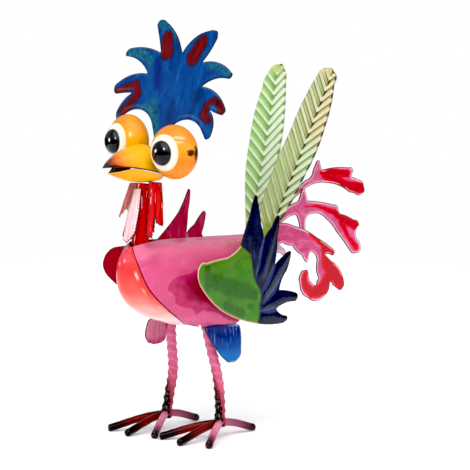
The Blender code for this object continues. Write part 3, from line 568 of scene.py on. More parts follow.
# The creases from each notch, painted pale as a highlight on the pressing, the raised vanes and the strokes
# of painted shade on the green, as (back, height, half width). Those on the lower feathers are alike on both
# wings.
LOWER_CREASES = [[(91, 150, 1.2), (78, 137, 2.8), (58, 126, 1)],
                 [(81, 118.5, 2.8), (66, 118.5, 2.6), (53, 119, 0.8)]]
CREASES = {
    "left": [[(59.8, 190, 1), (52, 170, 2.6), (45, 150, 0.6)],
             [(78.5, 162.5, 1.4), (66, 146, 2.4), (53, 135, 0.8)]],
    "right": [[(40, 191.5, 1), (44, 170, 2.6), (45, 150, 0.6)],
              [(74, 158, 1.4), (64, 146, 2.4), (53, 135, 0.8)]],
}
LOWER_VANES = [[(105, 173, 1), (86, 158, 6), (58, 134, 4)], [(116, 127, 2), (92, 128, 6), (60, 123, 4)],
               [(97, 107, 2), (74, 111, 6), (55, 113, 4)]]
VANES = {
    "left": [[(46, 231, 1), (40, 196, 7), (44, 165, 6)], [(85, 209, 1), (70, 185, 6), (56, 156, 5)]],
    "right": [[(44, 233, 1), (24, 200, 8), (38, 165, 6)], [(63.5, 211, 1), (56, 190, 7), (54, 156, 5)]],
}
# Strokes of painted shade on the dished green.
GREEN_SHADE_STROKES = [[(-42, 170, 6), (-42, 156, 7)], [(-38, 160, 7), (0, 148, 9), (30, 142, 8), (44, 136, 6)],
         [(34, 126, 3), (38, 125, 3)], [(-10, 132, 5), (20, 120, 6)]]
DARK_TIPS = [[(u, v, 14), (u, v, 14)] for u, v in ((47, 232), (85, 210), (105, 173), (116, 127), (97, 107))]


def wing_paint():
    e = Enamel("wing_enamel")
    grain = e.noise((0.03, 0.1, 0.1), 5, 0.62, 3, 0.8)
    green = e.ramp(grain, (0.28, "#2C6A00"), (0.5, "#3C7C08"), (0.72, "#508A1C"))
    green = e.over(green, "#5E7E1C", e.soft(e.add(e.v, e.times(grain, 30)), 178, 196), 0.6)
    # Painted shade: darker green patches where the dished sheet turns from the light.
    patch = e.ragged(e.c, 2.5, (0.12, 0.12, 0.1), 7, 4)
    green = e.over(green, "#225C00", patch, e.soft(e.a, -1, -3), 0.85)
    # Painted highlight: the green lightens towards its rim, where the dished sheet turns to the light.
    green = e.over(green, "#6A9444", e.soft(e.rim, 3.4, 1.4), 0.6)
    navy = e.noise((0.12, 0.05, 0.1), 4, 0.6, 8)
    navy = e.ramp(navy, (0.3, "#01031A"), (0.55, "#020A34"), (0.8, "#061E5C"))
    navy = e.over(navy, "#1C4A94", e.soft(e.noise((0.5, 0.06, 0.1), 3, 0.6, 71, 0.3), 0.6, 0.68), 0.4)
    # Painted highlight: paler along the pressed creases.
    navy = e.over(navy, "#4A5C9C", e.soft(e.b, -1, 0.7), 0.4)
    navy = e.over(navy, "#04050E", e.soft(e.c, 0, 12), e.soft(e.a, 0, 8))
    e.colour = e.over(green, "#12302E", e.stripe(e.a, -0.8, 1.2, 0.3), 0.55)
    e.lay(navy, e.ragged(e.a, 0.5, (0.16, 0.16, 0.1), 2.4, 2))
    # Painted highlight: a beige line where the green's cut edge catches the light.
    e.lay("#E4B090", e.soft(e.rim, 1.2, 0.6), e.soft(e.a, 1.5, -1.5))
    e.lay("#050820", e.soft(e.rim, 1.2, 0.5), e.soft(e.a, -1.5, 1.5))
    red = e.noise((0.12, 0.04, 0.1), 5, 0.6, 14)
    red = e.ramp(red, (0.3, "#A80E3A"), (0.5, "#BE2450"), (0.75, "#CC4A70"))
    # Painted highlight: paler along the creases on the inner face too.
    red = e.over(red, "#D4708C", e.soft(e.b, -1.6, 1))
    red = e.over(red, "#B4062E", e.soft(e.a, 2, -3), 0.9)
    red = e.over(red, "#4E0A1C", e.soft(e.rim, 1.2, 0.5))
    e.lay(red, e.soft(e.side, 0.3, -0.5))
    return e.finish(0.28, (0.08, 0.3, 0.3), 0.25, 0.4, 0.05)


WING = wing_paint()
toe_in = math.radians(WING_TOE_IN)
for side, sign in SIDES.items():
    cut = flat, _, edge = cut_out(WING_LOWER + WING_UPPER[side], 1.5)
    u, v = flat.T
    x = WING_OFFSET - u * math.sin(toe_in) + WING_DISH * (((u - 30) / 90) ** 2 - 0.25)
    base = np.column_stack([sign * x, u * math.cos(toe_in), v])
    border = np.interp(v, *np.transpose(BORDER))
    crease = to_strokes(flat, CREASES[side] + LOWER_CREASES)
    vane = to_strokes(flat, VANES[side] + LOWER_VANES)
    raised = fade_in(vane + 2, 6) ** 0.8 - fade_in(crease + 1.2, 3) * 0.7
    raised *= fade_in(edge, 3) * fade_in(u - border, 6)
    raised += wobble(flat, 0.06, 5) * 0.22 - 0.35 * np.exp(-((edge - 2.2) / 1.4) ** 2) * (u < border)
    # Zone c holds the dark tips on the navy and the painted shade strokes on the green.
    marks = np.where(u > border, to_strokes(flat, DARK_TIPS), to_strokes(flat, GREEN_SHADE_STROKES))
    sheet("wing_blade_" + side, cut, base, (sign, 0, 0), WING, "wing_" + side,
          np.column_stack([u - border, crease, marks]), raised)


# Thighs.
THIGH_OFFSET, THIGH_TOE_OUT, THIGH_DISH, THIGH_TOP, THIGH_MIDDLE = 42.1, 14.4, 3, 111.5, -4.5
THIGH_DROP = {"left": 37, "right": 27.5}
THIGH = {
    "left": [
        (-19, 0.06, 0.8), (-6, 0.64, 0.8), (3.5, 0.93, 1.4), (11, 1, 1.2), (18.4, 0.95, 2.2),
        (23.4, 0.66, 1), (22.6, 0.03, 0.5), (4, 0, 0.6), (-14, 0, 1)],
    "right": [
        (-19.5, 0.08, 0.6), (-24, 0.45, 1.4), (-20.5, 0.74, 1.6), (-10, 0.92, 1), (0, 0.985, 0.8),
        (11, 0.97, 1.8), (18.6, 0.76, 1.2), (19.8, 0.03, 0.4), (2, 0, 0.6), (-15, 0, 1)],
}


def thigh_paint(name, stops, streak, light, inside, edge):
    e = Enamel(name)
    e.colour = e.ramp(e.soft(e.v, THIGH_TOP - 34, THIGH_TOP - 4), *stops)
    marks = e.noise((0.5, 0.035, 0.1), 4, 0.65, 6, 0.3)
    high = e.soft(e.v, THIGH_TOP - 28, THIGH_TOP - 8)
    e.lay(streak, e.soft(marks, 0.5, 0.64), high)
    e.lay(light, e.soft(marks, 0.42, 0.3), high, 0.6)
    # Painted highlight: a pale line along the rear rim.
    e.lay(light, e.soft(e.rim, 2.4, 0.8), e.soft(e.u, 4, 16))
    e.lay(e.over(inside, streak, e.soft(marks, 0.48, 0.6), 0.6), e.back)
    return e.finish(0.2, (0.4, 0.06, 0.3), 0.22, 0.5, 0.05, edge, 0.7)


THIGH_PAINT = {
    "left": thigh_paint("thigh_blue_enamel", ((0, "#0862A8"), (0.45, "#043F8C"), (1, "#041E6E")),
                        "#04124E", "#6EA6D8", "#0B2A5E", "#0A1C4A"),
    "right": thigh_paint("thigh_pink_enamel", ((0, "#C4507A"), (0.5, "#C85A80"), (1, "#D4688A")),
                         "#B03C62", "#F0B4C4", "#F0709C", "#4A1020"),
}
turn = math.radians(THIGH_TOE_OUT)
for side, sign in SIDES.items():
    drop = THIGH_DROP[side]
    lobe = [(u, THIGH_TOP - share * drop, bulge) for u, share, bulge in THIGH[side]]
    cut = flat, _, edge = cut_out(lobe, 1, rounds=2)
    u, v = flat.T
    dish = THIGH_DISH * np.sqrt(np.maximum(0, 1 - (u / 30) ** 2) * np.maximum(0, (THIGH_TOP - v) / drop))
    x = THIGH_OFFSET + u * math.sin(turn) + dish
    base = np.column_stack([sign * x, THIGH_MIDDLE + u * math.cos(turn), v])
    sheet("thigh_skin_" + side, cut, base, (sign, 0, 0), THIGH_PAINT[side],
          "thigh_" + side,
          relief=1.9 * (1 - np.exp(-edge / 4.5)) - 0.6)


# Legs and toes.
LEG_DIAMETER, TOE_DIAMETER, LEG_END = 10, 7.4, 10
ANKLE = (36.6, 1, 14)
LEG_LINE = [(36.6, 1, LEG_END), (34, 3.6, 35), (29.8, 4.5, 60), (25, -3.3, 100), (14.6, -19, 188.4)]
TOE_REACH, HIND_TOE_REACH, TOE_TIP = 60, 48, 1.8
TOES = {"left": (("inner", -35), ("middle", 1), ("outer", 32), ("hind", 178)),
        "right": (("outer", -28), ("middle", 4), ("inner", 33), ("hind", -178))}
RIB_PITCH = 8.8
RED_PATCH = [[(106, -4, 5), (112, -2, 5)]]


def leg_paint():
    e = Enamel("leg_pink_enamel")
    e.colour = e.ramp(e.noise(0.05, 4, 0.6, 2), (0.3, "#D45A82"), (0.5, "#E27096"), (0.75, "#EE9CB6"))
    # Painted shade in the grooves between the ribs and painted highlight on their crests.
    e.lay("#B03C62", e.soft(e.a, -0.1, -0.9), 0.6)
    e.lay("#F4BCCC", e.soft(e.a, 0.1, 0.8), 0.4)
    e.lay("#9A3440", e.soft(e.v, 60, 16), 0.9)
    spray = e.add(e.b, e.waves(0.9, (0.25, 0.07, 0.2), 4, 0.6, 5))
    e.lay("#8A2830", e.soft(spray, -0.5, 0.1))
    e.lay(e.ramp(e.soft(e.v, 16, 52), (0, "#100606"), (0.5, "#3C1210"), (1, "#7A2C2C")),
          e.soft(spray, -0.12, 0.16))
    # Painted glints: pale specks over the dark spray.
    glint_specks = e.soft(e.noise((0.9, 0.3, 0.7), 3, 0.6, 31), 0.6, 0.64)
    e.lay("#D8A8A8", glint_specks, e.soft(spray, -0.1, 0.1), 0.35)
    e.lay("#C81420", e.soft(e.c, -0.5, 1.5))
    return e.finish(0.22, (0.2, 0.2, 0.2), 0.2, 0.1, 0.06)


def toe_paint(name, tip, *stops):
    e = Enamel(name)
    e.colour = e.ramp(e.add(e.side, e.waves(0.3, (0.15, 0.08, 0.2), 4, 0.6, 5)), *stops)
    e.lay(tip, e.soft(e.noise((0.5, 0.04, 0.2), 4, 0.6, 9), 0.52, 0.66), 0.5)
    return e.finish(0.18, (0.4, 0.05, 0.2), 0.15, 0.25, 0.08)


LEG = leg_paint()
DARK_TOE = toe_paint("toe_oxblood_enamel", "#1C0608", (0, "#1A0808"), (0.16, "#4A100C"), (0.4, "#6E160E"),
                     (0.62, "#5A120E"), (0.78, "#1E080A"), (0.9, "#0A0506"))
PINK_TOE = toe_paint("toe_pink_enamel", "#A04E6C", (0, "#C8607C"), (0.3, "#DA84A0"), (0.62, "#C06484"),
                     (0.84, "#5C2436"), (0.92, "#0E0608"))
MAUVE_TOE = toe_paint("toe_mauve_enamel", "#5C2036", (0, "#A85470"), (0.4, "#904660"), (0.7, "#5E2438"),
                      (0.86, "#241018"), (0.93, "#0E0608"))


def rib_height(along, angle):
    """The twisted ribs pressed into the leg rods."""
    crest = np.abs(((along / RIB_PITCH + angle / (2 * np.pi)) % 1 - 0.5) * 2)
    return 0.95 * np.clip(1 - crest / 0.6, 0, 1) ** 0.8 - 0.4


def leg_zones(ring, centres, sign):
    """The height of the ribs, the dark spray round the ankle and the red patch."""
    off = ring - centres[:, None]
    ribs = np.linalg.norm(off, axis=2) - LEG_DIAMETER / 2
    lit = (off[..., 0] * -0.26 + off[..., 1] * -0.97) / (LEG_DIAMETER / 2)
    spray = lit + 0.2 - (ring[..., 2] - ANKLE[2]) / (34 if sign > 0 else 28)
    patch = to_strokes(np.column_stack([ring[..., 2].ravel(), off[..., 0].ravel()]), RED_PATCH)
    if sign > 0:
        # Only the right leg has the patch.
        patch -= 12
    return np.stack([ribs, spray, patch.reshape(spray.shape)], -1)


LEG_RINGS, TOE_RINGS, TOE_CAP_RINGS = 240, 60, 8
for side, sign in SIDES.items():
    centres = spline(LEG_LINE, np.linspace(0, 1, LEG_RINGS)) * (sign, 1, 1)
    # The weld that gathers the toes swells the foot of the bar.
    radii = LEG_DIAMETER / 2 + 1.7 * np.exp(-((centres[:, 2] - 14.5) / 4.5) ** 2)
    radii[:4] *= 0.62, 0.82, 0.93, 0.98
    bar("leg_rod_" + side, centres, radii, LEG, "leg_" + side, 28, rib_height,
        lambda ring: leg_zones(ring, centres, sign))
    for label, degrees in TOES[side]:
        reach = HIND_TOE_REACH if label == "hind" else TOE_REACH
        a = math.radians(degrees)
        heading = np.array([math.sin(a), -math.cos(a), 0])
        radius, start = TOE_DIAMETER / 2, LEG_DIAMETER / 4
        t = np.linspace(0, 1, TOE_RINGS)
        height = radius + (ANKLE[2] - radius) * np.cos(t * np.pi / 2) ** 1.2
        run = start + (reach - start - TOE_TIP) * t
        line = np.array([sign * ANKLE[0], ANKLE[1], 0]) + run[:, None] * heading + height[:, None] * (0, 0, 1)
        dome = np.linspace(0, np.pi / 2, TOE_CAP_RINGS + 1)[1:]
        line = np.concatenate([line, line[-1] + np.sin(dome)[:, None] * heading * TOE_TIP])
        widths = np.concatenate([np.full(TOE_RINGS, radius), radius * np.maximum(np.cos(dome), 0.04) ** 0.6])
        lumps = 0.14 * np.sin(line[:, 0] * 0.5) * np.sin(line[:, 1] * 0.37)
        lumps[-TOE_CAP_RINGS - 1:] = 0
        seen_pink = (side, label) in (("left", "outer"), ("right", "inner"))
        bar("toe_bar_" + side + "_" + label, line, widths + lumps,
            MAUVE_TOE if label == "hind" else PINK_TOE if seen_pink else DARK_TOE,
            "toe_" + side + "_" + label, 24)


# Head.
HEAD = turned((0, -56.213, 284.883), ("Z", -5), ("Y", 6.5))
EYE_SPACING, EYE_RADIUS, EYE_DEPTH, EYE_OPENING = 67.6, 25.9, 17.3, 13
EYE_TURN = {"left": 6, "right": -8}
WHITE_RADIUS, PUPIL_RADIUS, PUPIL_HEIGHT = 17.4, 11.7, 4.6


def ellipse(radius, depth, start, stop, steps):
    """Profile points (radius, along) from one angle to another, measured from the front."""
    a = np.linspace(start, stop, steps)
    return [(max(radius * math.sin(q), 0), depth * math.cos(q)) for q in a]


def ball_paint(name, stops, marks):
    """An eye ball shaded from top to bottom; each mark is its middle, its sizes, a colour and a share."""
    e = Enamel(name)
    e.colour = e.ramp(e.soft(e.add(e.side, e.waves(26, 0.06, 3, 0.55, 3)), -24, 24), *stops)
    for middle, (wide, tall), tone, share in marks:
        uneven = e.add(e.far(middle, (wide, wide, tall)), e.waves(1.6, (0.3, 0.3, 0.5), 4, 0.65, 17))
        e.lay(tone, e.soft(uneven, 1.15, 0.55), share)
    return e.finish(0.24, (0.2, 0.2, 0.2), 0.12, 0.4, 0.05)


def eye_white_paint():
    e = Enamel("eye_white_enamel")
    out_from = e.far((0, 0, 0), (1, math.inf, 1))
    e.colour = e.over("#FBF8EC", "#F3E7BE", e.soft(out_from, 14.6, 17.2))
    e.lay("#D8D2C0", e.soft(out_from, 12.6, 11.4))
    return e.finish(0.26, (0.2, 0.2, 0.2), 0.08, 0.3, 0.02)


def pupil_paint():
    e = Enamel("pupil_black_enamel")
    e.colour = e.ramp(e.noise(0.2, 3, 0.5, 2), (0.3, "#08070C"), (0.7, "#15131C"))
    return e.finish(0.14, (0.3, 0.3, 0.3), 0.03, 0.8, 0.05)


# Two pale brush strokes and a dark smudge on the left ball, and the shade round the top of the right one.
BALL = {
    "left": ball_paint("eye_ball_orange_enamel", (
        (0, "#F79A34"), (0.35, "#F58A22"), (0.62, "#F9A030"), (1, "#F08E2C")), [
        ((13, -10, 16), (6.5, 1.5), "#FFD9A0", 0.6), ((15, -11, 12.4), (4.5, 1), "#FFD9A0", 0.6),
        ((24.5, -4, 3), (4.6, 3.4), "#3A1408", 0.95), ((25.2, 3.2, 2.5), (3.6, 10.5), "#140A0C", 0.95)]),
    "right": ball_paint("eye_ball_amber_enamel", (
        (0, "#FDB81C"), (0.5, "#FBB416"), (0.8, "#F5A21A"), (1, "#E8962A")), [
        ((-3, -8, 21), (12, 5), "#E08A34", 0.7), ((-12, -6, 22), (6, 4), "#5A2410", 0.7),
        ((23.5, 8, 4), (3, 14), "#8A8E5A", 0.8)]),
}
EYE_WHITE, PUPIL = eye_white_paint(), pupil_paint()
for side, sign in SIDES.items():
    spot = HEAD @ turned((sign * EYE_SPACING / 2, 0, 0), ("Z", EYE_TURN[side]))
    inner = EYE_RADIUS - SHEET
    shell = ellipse(EYE_RADIUS, EYE_DEPTH, math.pi, math.asin(EYE_OPENING / EYE_RADIUS), 48)
    lining = ellipse(inner, EYE_DEPTH - SHEET, math.asin(EYE_OPENING / inner), math.pi, 40)
    spun("eye_ball_" + side, shell + lining, BALL[side], "eye_bowl_" + side, spot)
    seat, face = ((EYE_RADIUS + lift, EYE_DEPTH + lift) for lift in (GAP, GAP + SHEET))
    under = ellipse(*seat, 0, math.asin(WHITE_RADIUS / seat[0]), 16)
    over = ellipse(*face, math.asin((WHITE_RADIUS - 0.35) / face[0]), 0, 24)
    bead = [(WHITE_RADIUS + 0.05, (under[-1][1] + over[0][1]) / 2)]
    spun("eye_cream_" + side, under + bead + over, EYE_WHITE, "eye_white_" + side, spot)
    rest = (face[0] + GAP, face[1] + GAP)
    foot = ellipse(*rest, 0, math.asin(PUPIL_RADIUS / rest[0]), 12)
    level, crown = foot[-1][1], rest[1] + PUPIL_HEIGHT
    dome = [(PUPIL_RADIUS * math.cos(a), level + (crown - level) * math.sin(a))
            for a in np.radians(np.linspace(5, 90, 22))]
    dome[-1] = (0, crown)
    spun("eye_pupil_" + side, foot + dome, PUPIL, "pupil_" + side, spot)

# Beak stations from the tip back: y, half width, and the heights of rim and crown over the eyes' foot.
UPPER_BEAK = [(-58.5, 0, 7.5, 7.9), (-52, 5.2, 8.5, 13.5), (-43, 10.6, 9.1, 18.9),
              (-31.5, 16, 8.7, 24.1), (-20, 21.5, 7.1, 27.1), (-8, 25.6, 4.3, 28.7)]
LOWER_BEAK = [(-51.5, 0, 2.3, 1.9), (-43, 6.4, 4.5, -1.3), (-31.5, 14.6, 8.2, -5.2),
              (-20, 20.2, 6.5, -7.3), (-11, 23.6, 4.5, -7.5), (-3.5, 26, 3.1, -6.5)]


def beak_paint(upper):
    e = Enamel(("upper" if upper else "lower") + "_beak_enamel")
    back = e.add(e.b, e.waves(9, 0.08, 4, 0.6, 4))
    if upper:
        low = e.times(e.soft(e.c, -13, -17.5), -8)
        e.colour = e.ramp(e.soft(e.add(back, low), -60, -4), (0, "#100606"), (0.02, "#200A08"),
                          (0.07, "#8A2810"), (0.15, "#D0661C"), (0.3, "#E89026"), (0.5, "#EEA81E"),
                          (1, "#EEB418"))
        e.lay("#A87410", e.soft(e.b, -26, -12), e.soft(e.c, -2, -14))
        # Painted highlight: a grey glint line near the tip.
        e.lay("#A8A4A4", e.stripe(e.a, -1.5, 1.3, 0.4), e.soft(e.b, -47, -53), 0.5)
    else:
        e.colour = e.ramp(e.soft(back, -54, -4), (0, "#E89A20"), (0.3, "#FBB01E"), (1, "#FDB71C"))
        e.lay("#E8A890", e.soft(e.b, -9, -5), e.soft(e.a, 14, 20))
    # Painted shade: the inner faces are near black, the shade inside the beak.
    e.lay("#2A0E06", e.soft(e.side, 0.4, -0.4))
    # At the mouth the upper beak's lip is dark, painted shade in the gap, and the lower beak's lip pale, a
    # painted highlight.
    lip = e.soft(e.rim, *((1.5, 0.9) if upper else (1, 0.4)))
    e.lay("#4E240A" if upper else "#FFD98A", lip, e.soft(e.side, -0.7, 0.1))
    return e.finish(0.22, (0.12, 0.12, 0.12), 0.12, 0.45, 0.04)


STATIONS, RIBS = 64, 49
for name, stations, upper in (("upper_beak", UPPER_BEAK, True), ("lower_beak", LOWER_BEAK, False)):
    # The stations crowd towards the tip, where the beak curves most.
    table = spline(stations, np.linspace(0, 1, STATIONS) ** 1.25)
    table[:, 1] = np.maximum(table[:, 1], 0.05)
    a = np.linspace(0, np.pi, RIBS)
    y, half, level, crown = (table[:, k:k + 1] for k in range(4))
    height = level + (crown - level) * np.sin(a) - EYE_RADIUS
    local = np.stack([-half * np.cos(a), np.repeat(y, RIBS, 1), height], -1).reshape(-1, 3)
    wall = np.minimum(SHEET, 0.25 * np.repeat(half, RIBS) + 0.02)
    sheet(name + "_skin", (local[:, :2], grid_faces(STATIONS, RIBS), None), local, (0, 0, 1 if upper else -1),
          beak_paint(upper), name, local, 0, HEAD, (0, wall), 0.15)

CREST = [
    (0, -17), (13, -17), (12, -5), (2.6, -3), (2.6, 5), (12.9, 19.8, -11),
    (58.6, 21.6, -0.4), (62.8, 17.8, 0.8), (67.4, 18, 1), (70, 23.4, 4.4), (57.6, 45.4, 0.6),
    (74, 42.6, 1), (78.6, 44.6, 1.2), (78.4, 49.6, 5.2), (38.6, 65.2, -3.6), (70.6, 77, 1),
    (74.4, 80.6, 1), (72.6, 83.6, 5), (29.4, 87.6, 1.2), (39.6, 110.2, 0.8), (39.4, 116.6, 1.4),
    (34.8, 119.8, 0.8), (27.4, 118.9, 5.2), (-1.1, 92.6, 4), (-36, 120.4, 0.8), (-42.4, 121.6, 1),
    (-46.8, 118.4, 1), (-46.2, 113.6, -0.4), (-30.4, 89.4, 3), (-75, 88.6, 0.8), (-79.8, 84, 1),
    (-78.4, 79.6, -4.4), (-40.4, 67, 4.2), (-79.4, 52, 1.2), (-81.6, 46, 1), (-77.6, 41, -0.4),
    (-54.4, 45.6, 2.2), (-68, 26, 1), (-66.6, 18.6, 1), (-62.6, 17, 0.6), (-58.6, 20.6, -11),
    (-12.9, 19.8), (-2.6, 5), (-2.6, -3), (-12, -5), (-13, -17),
]
# The red, teal and dark strokes on the crest, as (left, up, half width).
CREST_RED = [
    [(-27.1, 103.6, 7.5), (-21.6, 91.2, 7.5)], [(22.3, 106.4, 7), (16, 90.9, 8)],
    [(-77.4, 43.7, 2.6), (-63.9, 49.5, 3.2), (-51.7, 54.7, 3.6), (-45.6, 45.8, 4.2), (-51.7, 35.2, 5),
     (-60.2, 25.1, 4.4)],
    [(75.5, 46.6, 4), (69, 52.6, 3.2), (60.6, 55.1, 2.2), (53.8, 48.9, 3.4), (52.6, 39.4, 4),
     (61.8, 35.1, 3)]]
CREST_TEAL = [
    [(-41.4, 118.3, 4), (-28.7, 112.1, 5), (-18.3, 107.6, 3)], [(-77, 82, 5), (-55, 85, 5), (-41, 79.4, 4)],
    [(42, 85.8, 3), (54.7, 87.5, 4), (68.2, 83.7, 5)], [(-31.3, 31.4, 6), (-19.2, 36.1, 7), (-5.5, 12, 7)],
    [(-62, 18, 3), (-57, 22, 3)]]
CREST_DARK = [[(-30.5, 80.9, 6), (-24, 66, 8), (-20, 57.2, 5)], [(-12, 88, 3), (-10, 76, 3)]]


def crest_paint():
    e = Enamel("crest_blue_enamel")
    strokes = e.noise((0.1, 0.028, 0.1), 6, 0.66, 3, 0.9)
    e.colour = e.ramp(strokes, (0.26, "#02246C"), (0.42, "#033C86"), (0.58, "#054C92"), (0.8, "#14649E"))
    e.lay("#2E7CB0", e.soft(e.noise((0.3, 0.05, 0.1), 4, 0.6, 12), 0.6, 0.72), 0.6)
    e.lay("#03204E", e.soft(e.noise((0.05, 0.03, 0.1), 4, 0.6, 44), 0.5, 0.64), 0.55)
    e.lay("#041C70", e.soft(e.c, -3, 5), 0.8)
    teal = e.ramp(e.noise((0.3, 0.2, 0.1), 4, 0.6, 25), (0.3, "#063C58"), (0.5, "#0C6280"), (0.7, "#3C8480"))
    e.lay(teal, e.ragged(e.b, 3, (0.15, 0.15, 0.1), 6, 8), 0.85)
    halo = e.ragged(e.add(e.a, 1.6), 1.2, (0.2, 0.16, 0.1), 3.4, 15)
    e.lay("#10082C", halo, 0.8)
    red = e.ramp(e.noise((0.3, 0.07, 0.1), 5, 0.6, 33), (0.3, "#3A0408"), (0.5, "#66080E"), (0.75, "#8A1620"))
    e.lay(red, e.ragged(e.a, 0.7, (0.2, 0.16, 0.1), 3.4, 15))
    e.lay(e.ramp(strokes, (0.3, "#06286C"), (0.7, "#0E5094")), e.soft(e.side, -0.2, -0.8))
    return e.finish(0.28, (0.4, 0.07, 0.3), 0.3, 0.35, 0.06, "#060A18", 0.9)


cut = flat, _, edge = cut_out(CREST, 1.3, rounds=2)
zones = np.column_stack([to_strokes(flat, strokes) for strokes in (CREST_RED, CREST_TEAL, CREST_DARK)])
pressed = wobble(flat, 0.08, 9) * 0.15 - 0.35 * np.exp(-((edge - 2.4) / 1.6) ** 2)
sheet("crest_plate", cut, np.insert(flat, 1, 0, axis=1), (0, -1, 0), crest_paint(), "crest",
      zones, pressed, HEAD @ turned((0, 5, 0), ("X", -17)))

# Neck and hackles.
NECK = turned((0, -73, 184), ("X", -9))
NECK_HEIGHT, NECK_FOOT = 66.4, 8
# Each strip's slot, its radius at the top and at the foot, and its outline as (degrees, share of height).
HACKLES = {
    "hackle_left": ("neck_red", 14, 22, [
        (52, 1.03), (55, 0.6), (57, 0.25), (73, 0.22), (78, 0.5), (83, 0.52), (88, 0.44),
        (116, 0.42), (124, 0.5), (138, 0.72), (148, 1.04)]),
    "hackle_right": ("hackle_coral", 15, 22.5, [
        (-112, 1.01), (-108, 0.767), (-98, 0.506), (-86, 0.613), (-70, 0.583), (-54, 0.475),
        (-44, 0.644), (-32, 0.767), (-28, 0.98)]),
    "hackle_front": ("hackle_blush", 10.7, 17.5, [
        (-84, 0.92), (-82, 0.46), (-66, 0.23), (-50, 0.215), (-38, 0.36), (-24, 0.16), (-4, 0.12),
        (12, 0.18), (24, 0.3), (27, 0.6), (22, 0.92)]),
    "hackle_back": ("neck_red", 10.6, 17, [
        (166, 0.982), (172, 0.521), (182, 0.307), (194, 0.521), (208, 0.368), (218, 0.613), (224, 0.982)]),
}


def streaked(slot, stops, mark, edge, glints, inside="#8A1018"):
    e = Enamel(slot + "_enamel")
    e.colour = e.ramp(e.noise((0.35, 0.03, 0.3), 5, 0.65, 3, 0.4), *stops)
    # On the red and coral strips these pale streaks are painted glints; on the pale strip they are its red
    # paint.
    e.lay(mark, e.soft(e.noise((0.6, 0.05, 0.3), 4, 0.6, 14, 0.3), 0.63, 0.67), glints)
    # The inner faces: dark red on the red neck and strips, painted shade inside the hollow neck; near white
    # on the coral strip, painted light that lifts the tube's shade.
    e.lay(inside, e.soft(e.side, -0.2, -0.8))
    return e.finish(0.22, (0.6, 0.05, 0.3), 0.5, 0.45, 0.08, edge, 0.8)


# The coral and pale strips carry their own paint and painted light: their salmon and near-white tones are
# partly painted highlight from the light on the left.
STREAKED = {
    "neck_red": streaked("neck_red", ((0.3, "#A40008"), (0.5, "#CC0008"), (0.72, "#E41018")),
                         "#FFE4E0", "#5E0A10", 0.75),
    "hackle_coral": streaked("hackle_coral", ((0.3, "#D8484E"), (0.5, "#EC6468"), (0.75, "#F89090")),
                             "#FFD0CC", "#C05058", 0.5, "#FFC4BC"),
    "hackle_blush": streaked("hackle_blush", ((0.3, "#ECA8B4"), (0.5, "#F4D2D4"), (0.75, "#FCEEEA")),
                             "#C83048", "#6A3034", 0.7, "#FFD4D4"),
}


def round_neck(radius, angle, height):
    return np.column_stack([radius * np.sin(angle), -radius * np.cos(angle), height])


heights, angles = np.linspace(-NECK_FOOT, NECK_HEIGHT, 60), np.radians(np.linspace(-158, 158, 81))
h, k = (q.ravel() for q in np.meshgrid(heights, angles, indexing="ij"))
base = round_neck(7 + 2.2 * (h + NECK_FOOT) / (NECK_HEIGHT + NECK_FOOT), k, h)
sheet("neck_tube", (np.column_stack([k * 8, h]), grid_faces(60, 81), None), base, base * (1, 1, 0),
      STREAKED["neck_red"], "neck", None,
      0.25 * np.sin(k * 7 + h * 0.05) * fade_in(NECK_HEIGHT - h, 30), NECK)
for name, (slot, top, low, shape) in HACKLES.items():
    # Round the neck, one degree is this many millimetres at the strip's middle height.
    scale = math.radians(1) * (top + low) / 2
    high, bottom = (limit(share for _, share in shape) * NECK_HEIGHT for limit in (max, min))
    path = np.array(arc_path([(d * scale, share * NECK_HEIGHT) for d, share in shape], longest=1))
    loose = fade_in(high - 6 - path[:, 1], 10)
    path[:, 0] += loose * 0.55 * np.sin(path[:, 1] * 1.9 + path[:, 0])
    path[:, 1] += loose * 0.45 * np.sin(path[:, 0] * 2.7)
    flat, faces = flat_sheet(path, 0.9)
    u, v = flat.T
    base = round_neck(low + (top - low) * (v - bottom) / (high - bottom), u / scale * math.radians(1), v)
    fold = 0.55 * np.sin(u * 0.9 + 0.4 * np.sin(v * 0.11)) * fade_in(high - 4 - v, 18)
    sheet(name + "_strip", (flat, faces, rim_distance(flat, path)), base, base * (1, 1, 0), STREAKED[slot],
          name, None, fold, NECK)

# Tail feathers.
FEATHER_ROOT, FEATHER_LEAN, FEATHER_FOLD = (0, 99, 185), 21, 0.16
# The right plume stands this far behind the left one, clear of its ribs.
PLUME_SETBACK = SHEET + GAP + 0.9
FEATHERS = {
    "left": [
        (3.6, -16), (12, -16), (17.5, 12), (27, 24.5, 1), (43, 69, 2.5), (53.6, 120, 2),
        (50.5, 166, 3.5), (45, 179.5, 2.2), (36, 183, 2.4), (27, 176, 1.8), (11, 121, -0.5), (2, 86, -0.8),
        (-4.5, 40), (-3.5, 23), (3.6, 12)],
    "right": [
        (3.6, -16), (12, -16), (20, 5), (33.6, 47.5, 1.5), (44, 101, 2.2), (45.6, 161, 1.6),
        (42.4, 180, 2.4), (33, 187.4, 2.4), (23.6, 183, 1.8), (15.6, 168, 1), (2, 116, 1.2), (-0.5, 68),
        (1.5, 25), (3.6, 12)],
}
MIDRIB = {"left": ((12.5, 0), (43.5, 182)), "right": ((13, 0), (33, 186))}
CHEVRON_PITCH = {"left": 11.4, "right": 11}
# How steeply the chevrons rise outwards of the midrib and inwards of it.
CHEVRON_SLOPE = {"left": (0.7, 1.3), "right": (0.87, 0.884)}


